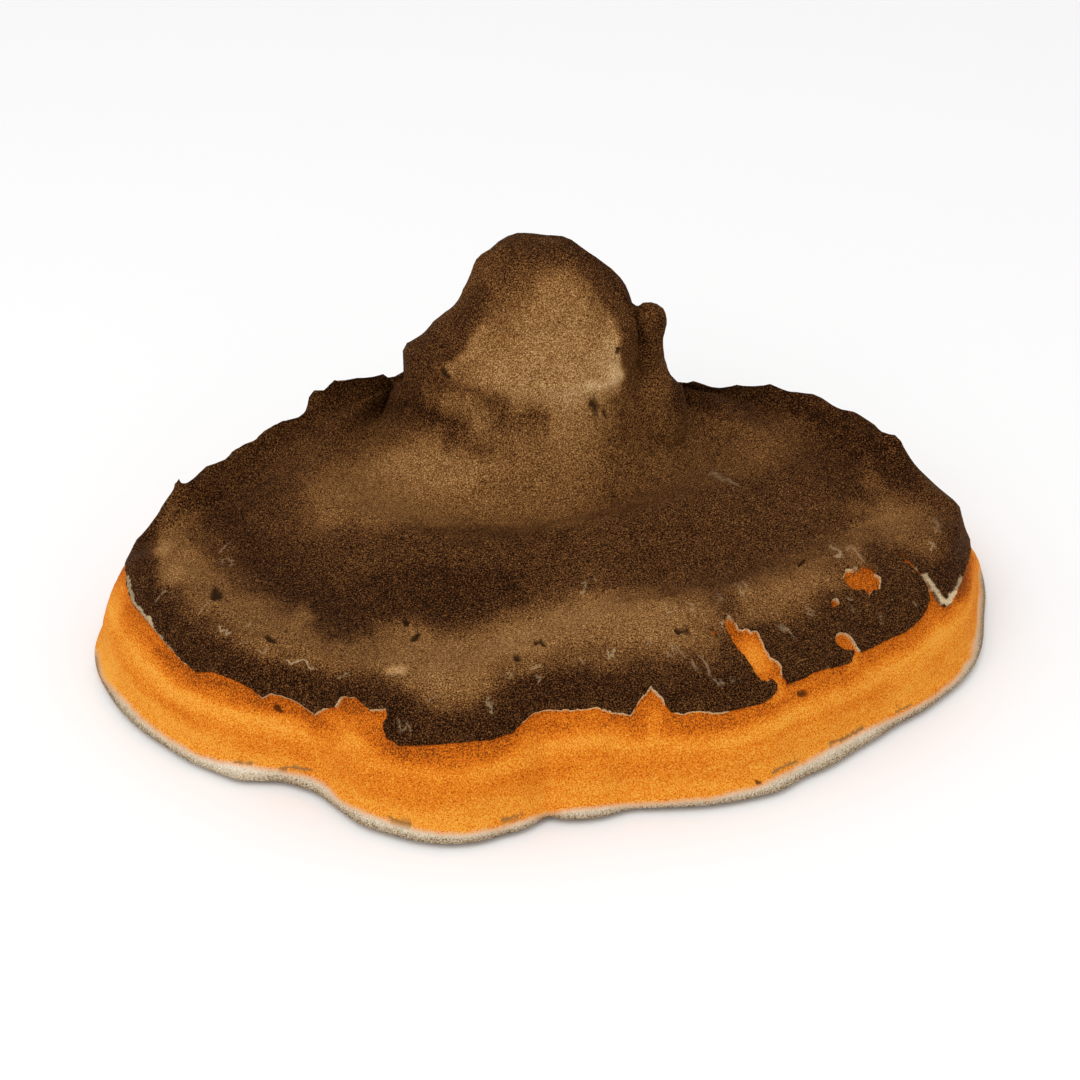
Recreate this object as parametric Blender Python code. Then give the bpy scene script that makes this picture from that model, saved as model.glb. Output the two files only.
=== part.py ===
# A conk as it grew on wood: one woody lump with a hard dark crust on top, orange flesh bare round
# its flank where the crust ends in a torn edge, a pale lip at the foot and a knob at the back.
# It is cut off flat where it met the wood, and stands on that cut. Metres, +Z up, +Y to the back.

import math

import bmesh
import bpy
import numpy as np
from mathutils import Vector, noise

# Driving sizes
WIDTH = 0.260
CRUST_THICKNESS = 0.0014
CRUST_EDGE_HEIGHT = 0.026
KNOB_AXIS = (-0.003, 0.0675)
KNOB_FOOT_HEIGHT = 0.048
LUMP_HEIGHT = 0.0009
LUMP_SPACING = 0.022

# The stations from foot to crust edge: height, and how far inside the lip
FLANK = (
    (0.0000, 0.0036),
    (0.0020, 0.0000),
    (0.0044, 0.0005),
    (0.0058, 0.0016),
    (0.0130, 0.0020),
    (0.0205, 0.0050),
    (CRUST_EDGE_HEIGHT, 0.0095),
)
# How much of that inset the flank has at each angle about the knob, in degrees from the right
FLANK_SLOPE = (
    (-180, 1.0), (-90, 1.0), (-30, 0.9), (-20, 0.87), (-14, 1.08), (-3, 1.2), (4, 1.1), (25, 0.8),
    (60, 0.5), (120, 0.5), (155, 0.8),
)
CREST_HEIGHT = 0.035
CREST_CLEARANCE = 0.0025
# The rings between crest and knob foot: share of the way in, and share of the furrow's depth
FURROW_RINGS = ((0.28, 1.0), (0.62, 0.15))
FURROW_DEPTH_SHARE = 0.06
# The slant distance of each station from the foot, along the front
STATIONS = np.array(
    (0, 3, 5.4, 7.2, 14.5, 22.5, 29.5, 50, 80, 114, 148, 157, 165, 174, 182, 191, 199, 216)
)
ROWS_PER_STATION = (1, 1, 1, 1, 2, 2, 3, 3, 3, 3, 1, 1, 1, 1, 1, 1, 2)
SPOKES = 92
FRONT_SPOKE_WEIGHT = 1.5
FINE_REACHES = (0.0065, 0.0016)

# The sight that every picture reading below was taken by: a square picture of an 85 mm lens
PICTURE_SIDE = 1080
LENS_MM = 85
SENSOR_MM = 36
LENS_PIXELS = PICTURE_SIDE * LENS_MM / SENSOR_MM
SIGHT_ELEVATION = math.radians(32)
SIGHT_AIM = np.array((0.0, 0.0095, 0.034))
LIP_PIXELS_ACROSS = 890
SIGHT_DISTANCE = LENS_PIXELS * WIDTH / LIP_PIXELS_ACROSS
PIXEL_SIZE = SIGHT_DISTANCE / LENS_PIXELS

# The lip's outline from the left end round the front to the right end, in pixels
LIP_SEEN = (
    (95, 655), (98, 673), (108, 693), (120, 710), (141, 730), (163, 745), (187, 760), (218, 773),
    (239, 780), (261, 781), (282, 782), (297, 786), (316, 793), (334, 806), (362, 825), (386, 833),
    (417, 841), (456, 844), (481, 841), (502, 835), (527, 828), (540, 821), (549, 817), (560, 819),
    (586, 819), (606, 816), (626, 810), (659, 808), (712, 805), (752, 798), (779, 791), (805, 777),
    (832, 765), (858, 749), (880, 736), (895, 726), (921, 712), (944, 696), (961, 682), (974, 666),
    (982, 646), (984, 620), (985, 593), (981, 573),
)
# The same outline behind, where it is out of sight, in metres
LIP_HIDDEN = (
    (0.136, 0.050), (0.133, 0.058), (0.127, 0.066), (0.118, 0.074), (0.106, 0.0815),
    (0.090, 0.0895), (0.065, 0.099), (0.036, 0.1045), (0.005, 0.1065), (-0.026, 0.104),
    (-0.054, 0.0965), (-0.079, 0.084), (-0.100, 0.067), (-0.1155, 0.0475), (-0.1255, 0.028),
    (-0.1308, 0.0095),
)
# The swelling that runs round the front of the crust, in pixels
CREST_SEEN = (
    (138, 562), (158, 585), (205, 618), (250, 640), (310, 660), (370, 674), (430, 684), (490, 674),
    (560, 652), (620, 632), (690, 616), (760, 600), (830, 578), (890, 556), (935, 535),
)
# The craggy skyline of the crust on the left and right of the knob, in pixels
SKYLINE_SEEN = (
    (154, 520), (166, 501), (173, 491), (175, 484), (179, 480), (182, 485), (190, 482), (207, 466),
    (225, 461), (232, 452), (245, 444), (252, 444), (264, 431), (283, 421), (295, 420), (306, 413),
    (309, 398), (314, 390), (320, 392), (327, 388), (334, 380), (343, 382), (356, 378), (373, 378),
    (383, 374), (390, 379), (394, 384), (681, 385), (693, 381), (700, 383), (704, 388), (721, 389),
    (737, 385), (754, 388), (770, 384), (777, 387), (783, 391), (813, 394), (822, 398), (838, 409),
    (855, 412), (866, 419), (875, 425), (882, 433), (895, 435), (901, 441), (908, 458), (922, 472),
    (939, 488), (954, 500), (960, 507),
)
# Where the ridge under the skyline runs in plan: how far right, and how far back
RIDGE_PLAN = (
    (-0.113, 0.019), (-0.109, 0.026), (-0.105, 0.034), (-0.100, 0.041), (-0.090, 0.052),
    (-0.080, 0.060), (-0.070, 0.067), (-0.060, 0.072), (-0.043, 0.078), (0.043, 0.081),
    (0.060, 0.081), (0.073, 0.079), (0.084, 0.075), (0.094, 0.069), (0.104, 0.061),
    (0.110, 0.053), (0.116, 0.0445), (0.121, 0.036), (0.1255, 0.028),
)
RIDGE_START_DEPTH = 0.05
RIDGE_SEARCH_STEPS = 12
# The ridge behind the knob, where it is out of sight
RIDGE_HIDDEN = (
    (-0.036, 0.088, 0.045), (-0.020, 0.096, 0.040), (-0.003, 0.099, 0.038), (0.015, 0.098, 0.039),
    (0.031, 0.090, 0.042),
)

# The knob's outline: row, left edge and right edge, in pixels, from its foot up
KNOB_LEVELS = (
    (354, 404, 641), (334, 426, 641), (309, 453, 635), (287, 467, 625), (264, 476, 599),
    (248, 494, 576),
)
KNOB_TOP = (532, 242)
# How far the knob's foot reaches to the left, right, front and back
KNOB_FOOT_REACH = (0.044, 0.040, 0.036, 0.025)
# How much lower the foot stands in front, and higher behind, than at its sides
KNOB_FOOT_TILT = 0.003
# The knob's depth as a share of its width
KNOB_DEPTH_SHARE = 0.80
OVAL_POINTS = 24

# The stub that stands against the knob's right side: where it stands, and its height and radius
STUB_AXIS = (0.0332, 0.066)
STUB_PROFILE = (
    (0.038, 0.0120), (0.048, 0.0118), (0.0551, 0.0098), (0.0575, 0.0073), (0.0627, 0.0049),
    (0.0700, 0.0038), (0.0778, 0.0045), (0.0808, 0.0037), (0.0824, 0.0014),
)
STUB_SIDES = 14

# The torn lower edge of the crust, in pixels, from the left end to the right end
CRUST_EDGE_SEEN = (
    (124, 560), (126, 586), (132, 604), (149, 624), (161, 640), (181, 661), (195, 672), (212, 672),
    (233, 680), (251, 689), (262, 698), (271, 694), (291, 699), (314, 715), (322, 709), (334, 707),
    (340, 697), (352, 697), (362, 704), (369, 710), (385, 709), (386, 716), (382, 724), (385, 737),
    (398, 746), (432, 745), (463, 742), (490, 740), (512, 733), (524, 721), (536, 712), (560, 709),
    (598, 707), (613, 712), (631, 715), (639, 701), (651, 687), (661, 697), (671, 712), (682, 714),
    (696, 711), (719, 712), (739, 706), (762, 702), (774, 694), (778, 685), (774, 678), (762, 677),
    (752, 665), (740, 650), (732, 636), (723, 624), (726, 618), (733, 621), (741, 631), (757, 630),
    (762, 643), (768, 654), (778, 660), (784, 676), (788, 684), (805, 678), (821, 669), (842, 666),
    (852, 661), (855, 654), (848, 649), (838, 645), (836, 636), (842, 632), (850, 635), (856, 646),
    (861, 651), (870, 649), (890, 639), (908, 631), (920, 620), (930, 603), (931, 594), (926, 580),
    (917, 567), (906, 557), (901, 552), (907, 555), (918, 565), (929, 583), (938, 598), (946, 606),
    (953, 603), (961, 585), (967, 572), (972, 548),
)
# A window torn in the crust, in pixels
WINDOW_SEEN = (
    (853, 566), (846, 570), (844, 578), (851, 586), (861, 588), (870, 592), (880, 587), (880, 575),
    (872, 567), (861, 569),
)
# The rows above and below the picture that close the crust's part of it
ABOVE_PICTURE = ((PICTURE_SIDE, 300), (PICTURE_SIDE, -500), (0, -500), (0, 300))
# The torn edge behind, where it is out of sight: its distance under the flank's last ring, and
# the waves that make it ragged, in millimetres: how many round the conk, how deep, where they start
HIDDEN_EDGE_DROP = 2
HIDDEN_EDGE_WAVES = ((9, 1.5, 0), (23, 1.1, 1), (51, 0.7, 2))
# Half the width over which the flesh steps back under the crust's torn edge
EDGE_STEP = 0.0006
# The middle of the whole outline, which the origin is put under
MIDDLE = (0.0026, 0.0076)
# The part of the outline that is in sight, as angles about the knob, and how softly it ends
FRONT_ANGLES = (math.radians(-153), math.radians(-20))
FRONT_BLEND = math.radians(5)
LIP_SAMPLES = 1441


def eye_and_axes():
    """The sight's eye point and its forward and up directions."""
    forward = np.array((0, math.cos(SIGHT_ELEVATION), -math.sin(SIGHT_ELEVATION)))
    up = np.array((0, math.sin(SIGHT_ELEVATION), math.cos(SIGHT_ELEVATION)))
    return SIGHT_AIM - forward * SIGHT_DISTANCE, forward, up


def ray_through(pixel):
    eye, forward, up = eye_and_axes()
    across = (pixel[0] - PICTURE_SIDE / 2) / LENS_PIXELS
    rise = (PICTURE_SIDE / 2 - pixel[1]) / LENS_PIXELS
    return eye, forward + np.array((across, 0, 0)) + up * rise


def at_height(pixel, height):
    eye, ray = ray_through(pixel)
    return eye + ray * (height - eye[2]) / ray[2]


def at_depth(pixel, depth):
    eye, ray = ray_through(pixel)
    return eye + ray * (depth - eye[1]) / ray[1]


def seen_at(points):
    """The pixel coordinates of points, as an array of two columns."""
    eye, forward, up = eye_and_axes()
    away = (points - eye) @ forward
    across = (points - eye)[:, 0] / away
    rise = ((points - eye) @ up) / away
    middle = PICTURE_SIDE / 2
    return np.stack((middle + LENS_PIXELS * across, middle - LENS_PIXELS * rise), axis=1)


def smoothstep(low, high, value):
    share = np.clip((value - low) / (high - low), 0, 1)
    return share * share * (3 - 2 * share)


def curve_through(knots, values, at):
    """A smooth curve through values at knots, read at each position in at.
    values holds a row for each knot, and a column for each position where they differ."""
    gaps = np.diff(knots)[:, None]
    rates = np.diff(values, axis=0) / gaps
    inner = (rates[:-1] * gaps[1:] + rates[1:] * gaps[:-1]) / (gaps[1:] + gaps[:-1])
    slopes = np.concatenate((rates[:1], inner, rates[-1:]))
    i = np.clip(np.searchsorted(knots, at, side="right") - 1, 0, len(knots) - 2)
    column = np.arange(len(at)) if values.shape[1] > 1 else np.zeros(len(at), int)
    gap = gaps[i, 0]
    t = (at - knots[i]) / gap
    low, high = values[i, column], values[i + 1, column]
    low_slope, high_slope = slopes[i, column] * gap, slopes[i + 1, column] * gap
    square, cube = t**2, t**3
    return (
        low * (2 * cube - 3 * square + 1)
        + low_slope * (cube - 2 * square + t)
        + high * (3 * square - 2 * cube)
        + high_slope * (cube - square)
    )


class Loop:
    """A closed ring round the knob's axis: reach and height by angle."""

    def __init__(self, points):
        points = np.asarray(points, float)
        offset = points[:, :2] - KNOB_AXIS
        angle = np.arctan2(offset[:, 1], offset[:, 0])
        order = np.argsort(angle)
        turn = 2 * math.pi
        angle = angle[order]
        self.angle = np.concatenate((angle[-2:] - turn, angle, angle[:2] + turn))
        values = np.stack((np.hypot(offset[:, 0], offset[:, 1]), points[:, 2]), axis=1)[order]
        self.values = np.concatenate((values[-2:], values, values[:2]))

    def at(self, angle):
        reach = curve_through(self.angle, self.values[:, :1], angle)
        height = curve_through(self.angle, self.values[:, 1:], angle)
        return reach, height


def lip_loop():
    seen = [at_height(pixel, FLANK[1][0]) for pixel in LIP_SEEN]
    return Loop(seen + [(x, y, FLANK[1][0]) for x, y in LIP_HIDDEN])


def on_ridge(pixel):
    """The point of the crust's ridge that makes the skyline at this pixel."""
    across, back = np.array(RIDGE_PLAN).T
    depth = RIDGE_START_DEPTH
    for _ in range(RIDGE_SEARCH_STEPS):
        point = at_depth(pixel, depth)
        depth = np.interp(point[0], across, back)
    return point


def crest_loop():
    """The swelling round the front, which behind becomes the ridge of the skyline."""
    front = [at_height(pixel, CREST_HEIGHT) for pixel in CREST_SEEN]
    ridge = [on_ridge(pixel) for pixel in SKYLINE_SEEN]
    return Loop(front + ridge + list(RIDGE_HIDDEN))


def oval_loop(left, right, front, back, height):
    """A ring of four reaches about the knob's axis."""
    points = []
    for i in range(OVAL_POINTS):
        angle = 2 * math.pi * i / OVAL_POINTS
        across, along = math.cos(angle), math.sin(angle)
        x = across * (right if across > 0 else left)
        y = along * (back if along > 0 else front)
        points.append((KNOB_AXIS[0] + x, KNOB_AXIS[1] + y, height))
    return Loop(points)


def knob_loops():
    loops = []
    for row, left_pixel, right_pixel in KNOB_LEVELS:
        left = at_depth((left_pixel, row), KNOB_AXIS[1])
        right = at_depth((right_pixel, row), KNOB_AXIS[1])
        depth = KNOB_DEPTH_SHARE * (right[0] - left[0]) / 2
        loops.append(
            oval_loop(KNOB_AXIS[0] - left[0], right[0] - KNOB_AXIS[0], depth, depth, left[2])
        )
    return loops


def station_rings(angle):
    """Reach and height of every station ring at each angle."""
    lip_reach, _ = lip_loop().at(angle)
    slope_angle, slope = np.array(FLANK_SLOPE).T
    slope = np.interp(np.degrees(angle), slope_angle, slope, period=360)
    rings = [
        (lip_reach - inset * slope, np.full_like(angle, height)) for height, inset in FLANK
    ]
    crest_reach, crest_height = crest_loop().at(angle)
    crest_reach = np.minimum(crest_reach, rings[-1][0] - CREST_CLEARANCE)
    left, right, front, back = KNOB_FOOT_REACH
    foot_reach, foot_height = oval_loop(left, right, front, back, KNOB_FOOT_HEIGHT).at(angle)
    foot_height = foot_height + KNOB_FOOT_TILT * np.sin(angle)
    gap = crest_reach - foot_reach
    for share, depth in FURROW_RINGS:
        height = crest_height + (foot_height - crest_height) * share
        height = height - depth * FURROW_DEPTH_SHARE * gap
        rings.append((crest_reach - gap * share, height))
    rings.insert(len(FLANK), (crest_reach, crest_height))
    rings.append((foot_reach, foot_height))
    rings += [loop.at(angle) for loop in knob_loops()]
    top = at_depth(KNOB_TOP, KNOB_AXIS[1])
    rings.append((np.zeros_like(angle), np.full_like(angle, top[2])))
    return np.array([r for r, _ in rings]), np.array([h for _, h in rings])


def spoke_angles(share):
    """The angle about the knob of each share of the way round, so that spokes are even along the lip."""
    angle = np.linspace(-math.pi, math.pi, LIP_SAMPLES)
    reach, _ = lip_loop().at(angle)
    outline = np.stack((reach * np.cos(angle), reach * np.sin(angle)), axis=1)
    step = np.hypot(*np.diff(outline, axis=0).T)
    middle = (angle[1:] + angle[:-1]) / 2
    front = (middle > FRONT_ANGLES[0]) & (middle < FRONT_ANGLES[1])
    step = step * np.where(front, FRONT_SPOKE_WEIGHT, 1)
    way = np.concatenate(((0,), np.cumsum(step)))
    return np.interp(share, way / way[-1], angle)


def place(disc):
    """Carries points of the flat working disc to the conk's smooth body.
    Each ring of the disc is a station, and its centre is the top of the knob."""
    rows = np.concatenate(((0,), np.cumsum(ROWS_PER_STATION)))
    inward = (1 - np.hypot(disc[:, 0], disc[:, 1])) * rows[-1]
    station = np.interp(inward, rows, STATIONS)
    turn = np.arctan2(disc[:, 1], disc[:, 0]) / (2 * math.pi) + 0.5
    angle = spoke_angles(turn)
    reaches, heights = station_rings(angle)
    reach = curve_through(STATIONS.astype(float), reaches, station)
    height = curve_through(STATIONS.astype(float), heights, station)
    height = np.where(station <= 0, 0, height)
    points = np.stack(
        (KNOB_AXIS[0] + reach * np.cos(angle), KNOB_AXIS[1] + reach * np.sin(angle), height), axis=1
    )
    return points, station, angle


def distance_inside(points, outline):
    """Signed distance to a closed outline, positive inside."""
    corners = np.asarray(outline, float)
    ends = np.roll(corners, -1, axis=0)
    inside = np.zeros(len(points), bool)
    nearest = np.full(len(points), np.inf)
    for (x0, y0), (x1, y1) in zip(corners, ends):
        edge = np.array((x1 - x0, y1 - y0))
        offset = points - (x0, y0)
        share = np.clip(offset @ edge / (edge @ edge), 0, 1)
        nearest = np.minimum(nearest, np.hypot(*(offset - share[:, None] * edge).T))
        crosses = (y0 > points[:, 1]) != (y1 > points[:, 1])
        if y1 != y0:
            crossing = x0 + (points[:, 1] - y0) * (x1 - x0) / (y1 - y0)
            inside ^= crosses & (points[:, 0] < crossing)
    return np.where(inside, nearest, -nearest)


def crust_depth(points, station, angle):
    """How far each point lies inside the crust's torn edge, in metres, negative on bare flesh."""
    pixels = seen_at(points)
    seen = distance_inside(pixels, CRUST_EDGE_SEEN + ABOVE_PICTURE) * PIXEL_SIZE
    window = distance_inside(pixels, WINDOW_SEEN) * PIXEL_SIZE
    seen = np.minimum(seen, -window)
    ragged = sum(deep * np.sin(count * angle + start) for count, deep, start in HIDDEN_EDGE_WAVES)
    behind = (station - STATIONS[6] + HIDDEN_EDGE_DROP - ragged) / 1000
    low, high = FRONT_ANGLES
    middle, half = (low + high) / 2, (high - low) / 2
    front = smoothstep(half + FRONT_BLEND, half, np.abs(angle - middle))
    depth = front * seen + (1 - front) * behind
    return np.where(station > STATIONS[7], np.where(front > 0.5, seen, 1.0), depth)


def lumps(points):
    found = [noise.noise(Vector(p) / LUMP_SPACING) for p in points]
    return LUMP_HEIGHT * np.array(found)


def working_disc():
    """A flat disc of rings and spokes on its own foot face, spun from one spoke."""
    bm = bmesh.new()
    rings = sum(ROWS_PER_STATION)
    spoke = [bm.verts.new((i / rings, 0, 0)) for i in range(rings + 1)]
    edges = [bm.edges.new(pair) for pair in zip(spoke, spoke[1:])]
    bmesh.ops.spin(
        bm, geom=spoke + edges, cent=(0, 0, 0), axis=(0, 0, 1), dvec=(0, 0, 0),
        angle=2 * math.pi, steps=SPOKES, use_merge=True, use_normal_flip=False, use_duplicate=False,
    )
    bmesh.ops.remove_doubles(bm, verts=bm.verts, dist=1e-6)
    return bm


def refine(bm, reach):
    """Splits the edges near the crust's torn edge and the window."""
    depth = np.abs(crust_depth(*place(np.array([v.co[:2] for v in bm.verts]))))
    bm.verts.index_update()
    near = depth < reach
    edges = [e for e in bm.edges if near[e.verts[0].index] and near[e.verts[1].index]]
    bmesh.ops.subdivide_edges(bm, edges=edges, cuts=1, use_grid_fill=True)


def centred(points):
    return np.asarray(points) - (*MIDDLE, 0)


def build_conk():
    bm = working_disc()
    for reach in FINE_REACHES:
        refine(bm, reach)
    bmesh.ops.triangulate(bm, faces=bm.faces, quad_method="BEAUTY", ngon_method="BEAUTY")
    points, station, angle = place(np.array([v.co[:2] for v in bm.verts]))
    depth = crust_depth(points, station, angle)
    for vert, point in zip(bm.verts, points):
        vert.co = point
    bm.normal_update()
    normals = np.array([v.normal for v in bm.verts])
    bare = smoothstep(EDGE_STEP, -EDGE_STEP, depth) * smoothstep(STATIONS[2], STATIONS[4], station)
    crusted = smoothstep(STATIONS[6], STATIONS[7], station)
    points = points + normals * (crusted * lumps(points) - bare * CRUST_THICKNESS)[:, None]
    points[:, 2] = np.where(station <= 0, 0, points[:, 2])
    for vert, point in zip(bm.verts, centred(points)):
        vert.co = point
    rim = [e for e in bm.edges if e.is_boundary]
    bmesh.ops.contextual_create(bm, geom=rim)
    bmesh.ops.recalc_face_normals(bm, faces=bm.faces)
    mesh = bpy.data.meshes.new("conk")
    bm.to_mesh(mesh)
    bm.free()
    mesh.shade_smooth()
    mesh.set_sharp_from_angle(angle=math.radians(60))
    return bpy.data.objects.new("conk", mesh)


def build_stub():
    """The stub's own closed solid, which is then joined to the conk."""
    bm = bmesh.new()
    profile = [bm.verts.new((radius, 0, height)) for height, radius in STUB_PROFILE]
    edges = [bm.edges.new(pair) for pair in zip(profile, profile[1:])]
    bmesh.ops.spin(
        bm, geom=profile + edges, cent=(0, 0, 0), axis=(0, 0, 1), dvec=(0, 0, 0),
        angle=2 * math.pi, steps=STUB_SIDES, use_merge=True, use_normal_flip=False,
        use_duplicate=False,
    )
    bmesh.ops.holes_fill(bm, edges=[e for e in bm.edges if e.is_boundary])
    bmesh.ops.translate(bm, verts=bm.verts, vec=centred((*STUB_AXIS, 0)))
    bmesh.ops.recalc_face_normals(bm, faces=bm.faces)
    mesh = bpy.data.meshes.new("stub")
    bm.to_mesh(mesh)
    bm.free()
    stub = bpy.data.objects.new("stub", mesh)
    stub.hide_render = True
    return stub


def crust_material():
    material = bpy.data.materials.new("dark_crust")
    material.use_nodes = True
    shader = material.node_tree.nodes["Principled BSDF"]
    shader.inputs["Base Color"].default_value = (0.10, 0.055, 0.025, 1)
    shader.inputs["Roughness"].default_value = 0.75
    shader.inputs["Metallic"].default_value = 0
    return material


def main():
    for obj in list(bpy.data.objects):
        bpy.data.objects.remove(obj)
    conk = build_conk()
    stub = build_stub()
    for obj in (conk, stub):
        obj.data.materials.append(crust_material())
        bpy.context.scene.collection.objects.link(obj)
    join = conk.modifiers.new("join stub", "BOOLEAN")
    join.operation = "UNION"
    join.object = stub


main()
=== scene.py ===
import math

import bmesh
import bpy
import numpy as np
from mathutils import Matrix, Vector, noise


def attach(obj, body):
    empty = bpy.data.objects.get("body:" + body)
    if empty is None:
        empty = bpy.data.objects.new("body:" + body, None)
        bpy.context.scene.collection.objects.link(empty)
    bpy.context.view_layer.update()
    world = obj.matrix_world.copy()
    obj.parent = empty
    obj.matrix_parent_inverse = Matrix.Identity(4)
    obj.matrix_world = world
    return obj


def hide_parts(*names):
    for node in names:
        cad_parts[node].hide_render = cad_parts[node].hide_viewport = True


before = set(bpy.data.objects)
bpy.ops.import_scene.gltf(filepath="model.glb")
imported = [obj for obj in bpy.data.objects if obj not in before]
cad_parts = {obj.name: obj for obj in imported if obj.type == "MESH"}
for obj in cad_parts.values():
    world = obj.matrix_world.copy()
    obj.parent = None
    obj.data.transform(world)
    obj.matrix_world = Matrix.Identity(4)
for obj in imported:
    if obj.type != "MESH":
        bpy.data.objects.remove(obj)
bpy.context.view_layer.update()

# The sight that the picture readings below were taken by, in pixels and metres
sight = {
    "pictureSide": 1080,
    "lensMm": 85,
    "sensorMm": 36,
    "elevation": math.radians(32),
    "aim": np.array((0.0, 0.0095, 0.034)),
    "distance": 0.745,
    "middle": np.array((0.0026, 0.0076, 0.0)),  # what the readings' frame is moved by, to stand centred
}
lensPixels = sight["pictureSide"] * sight["lensMm"] / sight["sensorMm"]
metresPerPixel = sight["distance"] / lensPixels
forward = np.array((0, math.cos(sight["elevation"]), -math.sin(sight["elevation"])))
upward = np.array((0, math.sin(sight["elevation"]), math.cos(sight["elevation"])))
eye = sight["aim"] - forward * sight["distance"]

# The conk's form: what a user would change
conk = {
    "knobAxis": (-0.003, 0.0675),  # in plan
    "flank": (  # height and inset of each ring from the foot to the crust's edge
        (0.0000, 0.0036), (0.0020, 0.0000), (0.0044, 0.0005), (0.0058, 0.0016),
        (0.0130, 0.0020), (0.0205, 0.0050), (0.0260, 0.0095),
    ),
    "flankSlope": (  # how much of the inset it has at each angle about the knob, in degrees
        (-180, 1.0), (-90, 1.0), (-30, 0.9), (-20, 0.87), (-14, 1.08), (-3, 1.2), (4, 1.1),
        (25, 0.8), (60, 0.5), (120, 0.5), (155, 0.8),
    ),
    "crestHeight": 0.035,
    "crestClearance": 0.0025,
    "furrowDepthShare": 0.06,
    "knobFootHeight": 0.048,
    "knobFootReach": (0.044, 0.040, 0.036, 0.025),  # left, right, front and back
    "knobDepthShare": 0.80,
    "knobTop": (532, 242),
    "spareSize": 0.0009,  # the ridge and knob are made this much too big, then trimmed to the outline
    "outlineRoughness": 0.6,  # in pixels
    "cornerPixels": 24,  # how near a corner of the outline the skin is cut finer
    "cornerCuts": 4,
    "crustThickness": 0.0014,
    "hiddenLip": 4.6,  # how far up the flank the lip goes out of sight and at most, in mm
    "highestLip": 8.8,
    "stations": (  # the rings' places along the skin from foot to knob top, about in mm
        0, 3, 5.4, 7.2, 14.5, 22.5, 29.5, 50, 80, 114, 148, 157, 161, 165, 169, 173, 178, 182, 187, 191,
        195, 200, 216,
    ),
    # Rows of faces from each ring to the next, faces round a row, and how much denser they are in front
    "rows": (2, 2, 1, 4, 5, 5, 12, 14, 13, 11, 4, 2, 2, 2, 2, 2, 2, 2, 2, 2, 2, 6),
    "spokes": 372,
    "frontSpokeWeight": 2.3,
    "fineReaches": (0.0018, 0.0008, 0.0004),  # how near a mark the skin is halved once, twice, thrice
    # Lumps of the surface: size across and height, in metres
    "swell": (0.022, 0.0009),
    "ripple": (0.006, 0.00025),
    "crag": (0.0055, 0.0008),
    "fineCrag": (0.0022, 0.0004),
    "pitDepth": 0.0008,
    "rimRise": 0.0003,
}
# The stations that the code below asks for by name
lipTopAt, lowFlankAt, midFlankAt, crustEdgeAt, crestAt, bowlAt, knobFootAt = (
    conk["stations"][i] for i in (2, 3, 4, 6, 7, 9, 10)
)

# The lip's outline from the left end round the front to the right end, in pixels
lipSeen = (
    (95, 655), (98, 673), (108, 693), (120, 710), (141, 730), (163, 745), (187, 760), (218, 773),
    (239, 780), (261, 781), (282, 782), (297, 786), (316, 793), (334, 806), (362, 825), (386, 833),
    (417, 841), (456, 844), (481, 841), (502, 835), (527, 828), (540, 821), (549, 817), (560, 819),
    (586, 819), (606, 816), (626, 810), (659, 808), (712, 805), (752, 798), (779, 791), (805, 777),
    (832, 765), (858, 749), (880, 736), (895, 726), (921, 712), (944, 696), (961, 682), (974, 666),
    (982, 646), (984, 620), (985, 593), (981, 573),
)
# The same outline behind, in metres
lipHidden = (
    (0.136, 0.050), (0.133, 0.058), (0.127, 0.066), (0.118, 0.074), (0.106, 0.0815),
    (0.090, 0.0895), (0.065, 0.099), (0.036, 0.1045), (0.005, 0.1065), (-0.026, 0.104),
    (-0.054, 0.0965), (-0.079, 0.084), (-0.100, 0.067), (-0.1155, 0.0475), (-0.1255, 0.028),
    (-0.1308, 0.0095),
)
# The swelling that runs round the front of the crust, in pixels
crestSeen = (
    (138, 562), (158, 585), (205, 618), (250, 640), (310, 660), (370, 674), (430, 684), (490, 674),
    (560, 652), (620, 632), (690, 616), (760, 600), (830, 578), (890, 556), (935, 535),
)
# The craggy skyline of the crust on the left and right of the knob, in pixels
skylineLeft = (
    (154, 520), (166, 501), (173, 491), (175, 484), (179, 479), (182, 485), (190, 482), (207, 466),
    (225, 461), (232, 452), (245, 444), (252, 444), (264, 431), (283, 421), (295, 420), (306, 413),
    (309, 398), (314, 390), (320, 392), (327, 388), (334, 380), (343, 382), (356, 378), (373, 378),
    (383, 374), (390, 379), (394, 384),
)
skylineRight = (
    (681, 385), (693, 381), (700, 383), (704, 388), (721, 389), (737, 385), (754, 388), (770, 384),
    (777, 387), (783, 391), (813, 394), (822, 398), (838, 409), (855, 412), (866, 419), (875, 425),
    (882, 433), (895, 435), (901, 441), (908, 458), (922, 472), (939, 488), (954, 500), (960, 507),
)
# The rest of the outline in sight: the left side, the knob, the stub and the right side, in pixels
leftSideSeen = (
    (95, 655), (96, 642), (103, 621), (107, 605), (113, 588), (125, 563), (137, 539), (147, 530),
)
knobSeen = (
    (400, 384), (404, 380), (403, 351), (407, 343), (414, 341), (421, 335), (428, 330), (433, 322),
    (447, 311), (458, 304), (461, 297), (463, 289), (468, 281), (472, 270), (476, 260), (482, 254),
    (494, 247), (498, 242), (508, 236), (518, 233), (530, 233), (546, 235), (562, 236), (572, 240),
    (580, 246), (588, 252), (596, 257), (604, 263), (612, 269), (620, 277), (625, 284), (629, 293),
    (632, 303), (635, 311),
)
stubSeen = (
    (638, 307), (643, 303), (651, 302), (657, 304), (663, 308), (666, 314), (667, 323), (665, 331),
    (663, 338), (663, 346), (664, 354), (666, 362), (668, 371), (673, 378),
)
rightSideSeen = (
    (962, 516), (965, 528), (970, 539), (971, 552), (977, 564), (981, 574), (985, 590), (984, 612),
)
outlineSeen = leftSideSeen + skylineLeft + knobSeen + stubSeen + skylineRight + rightSideSeen
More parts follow.
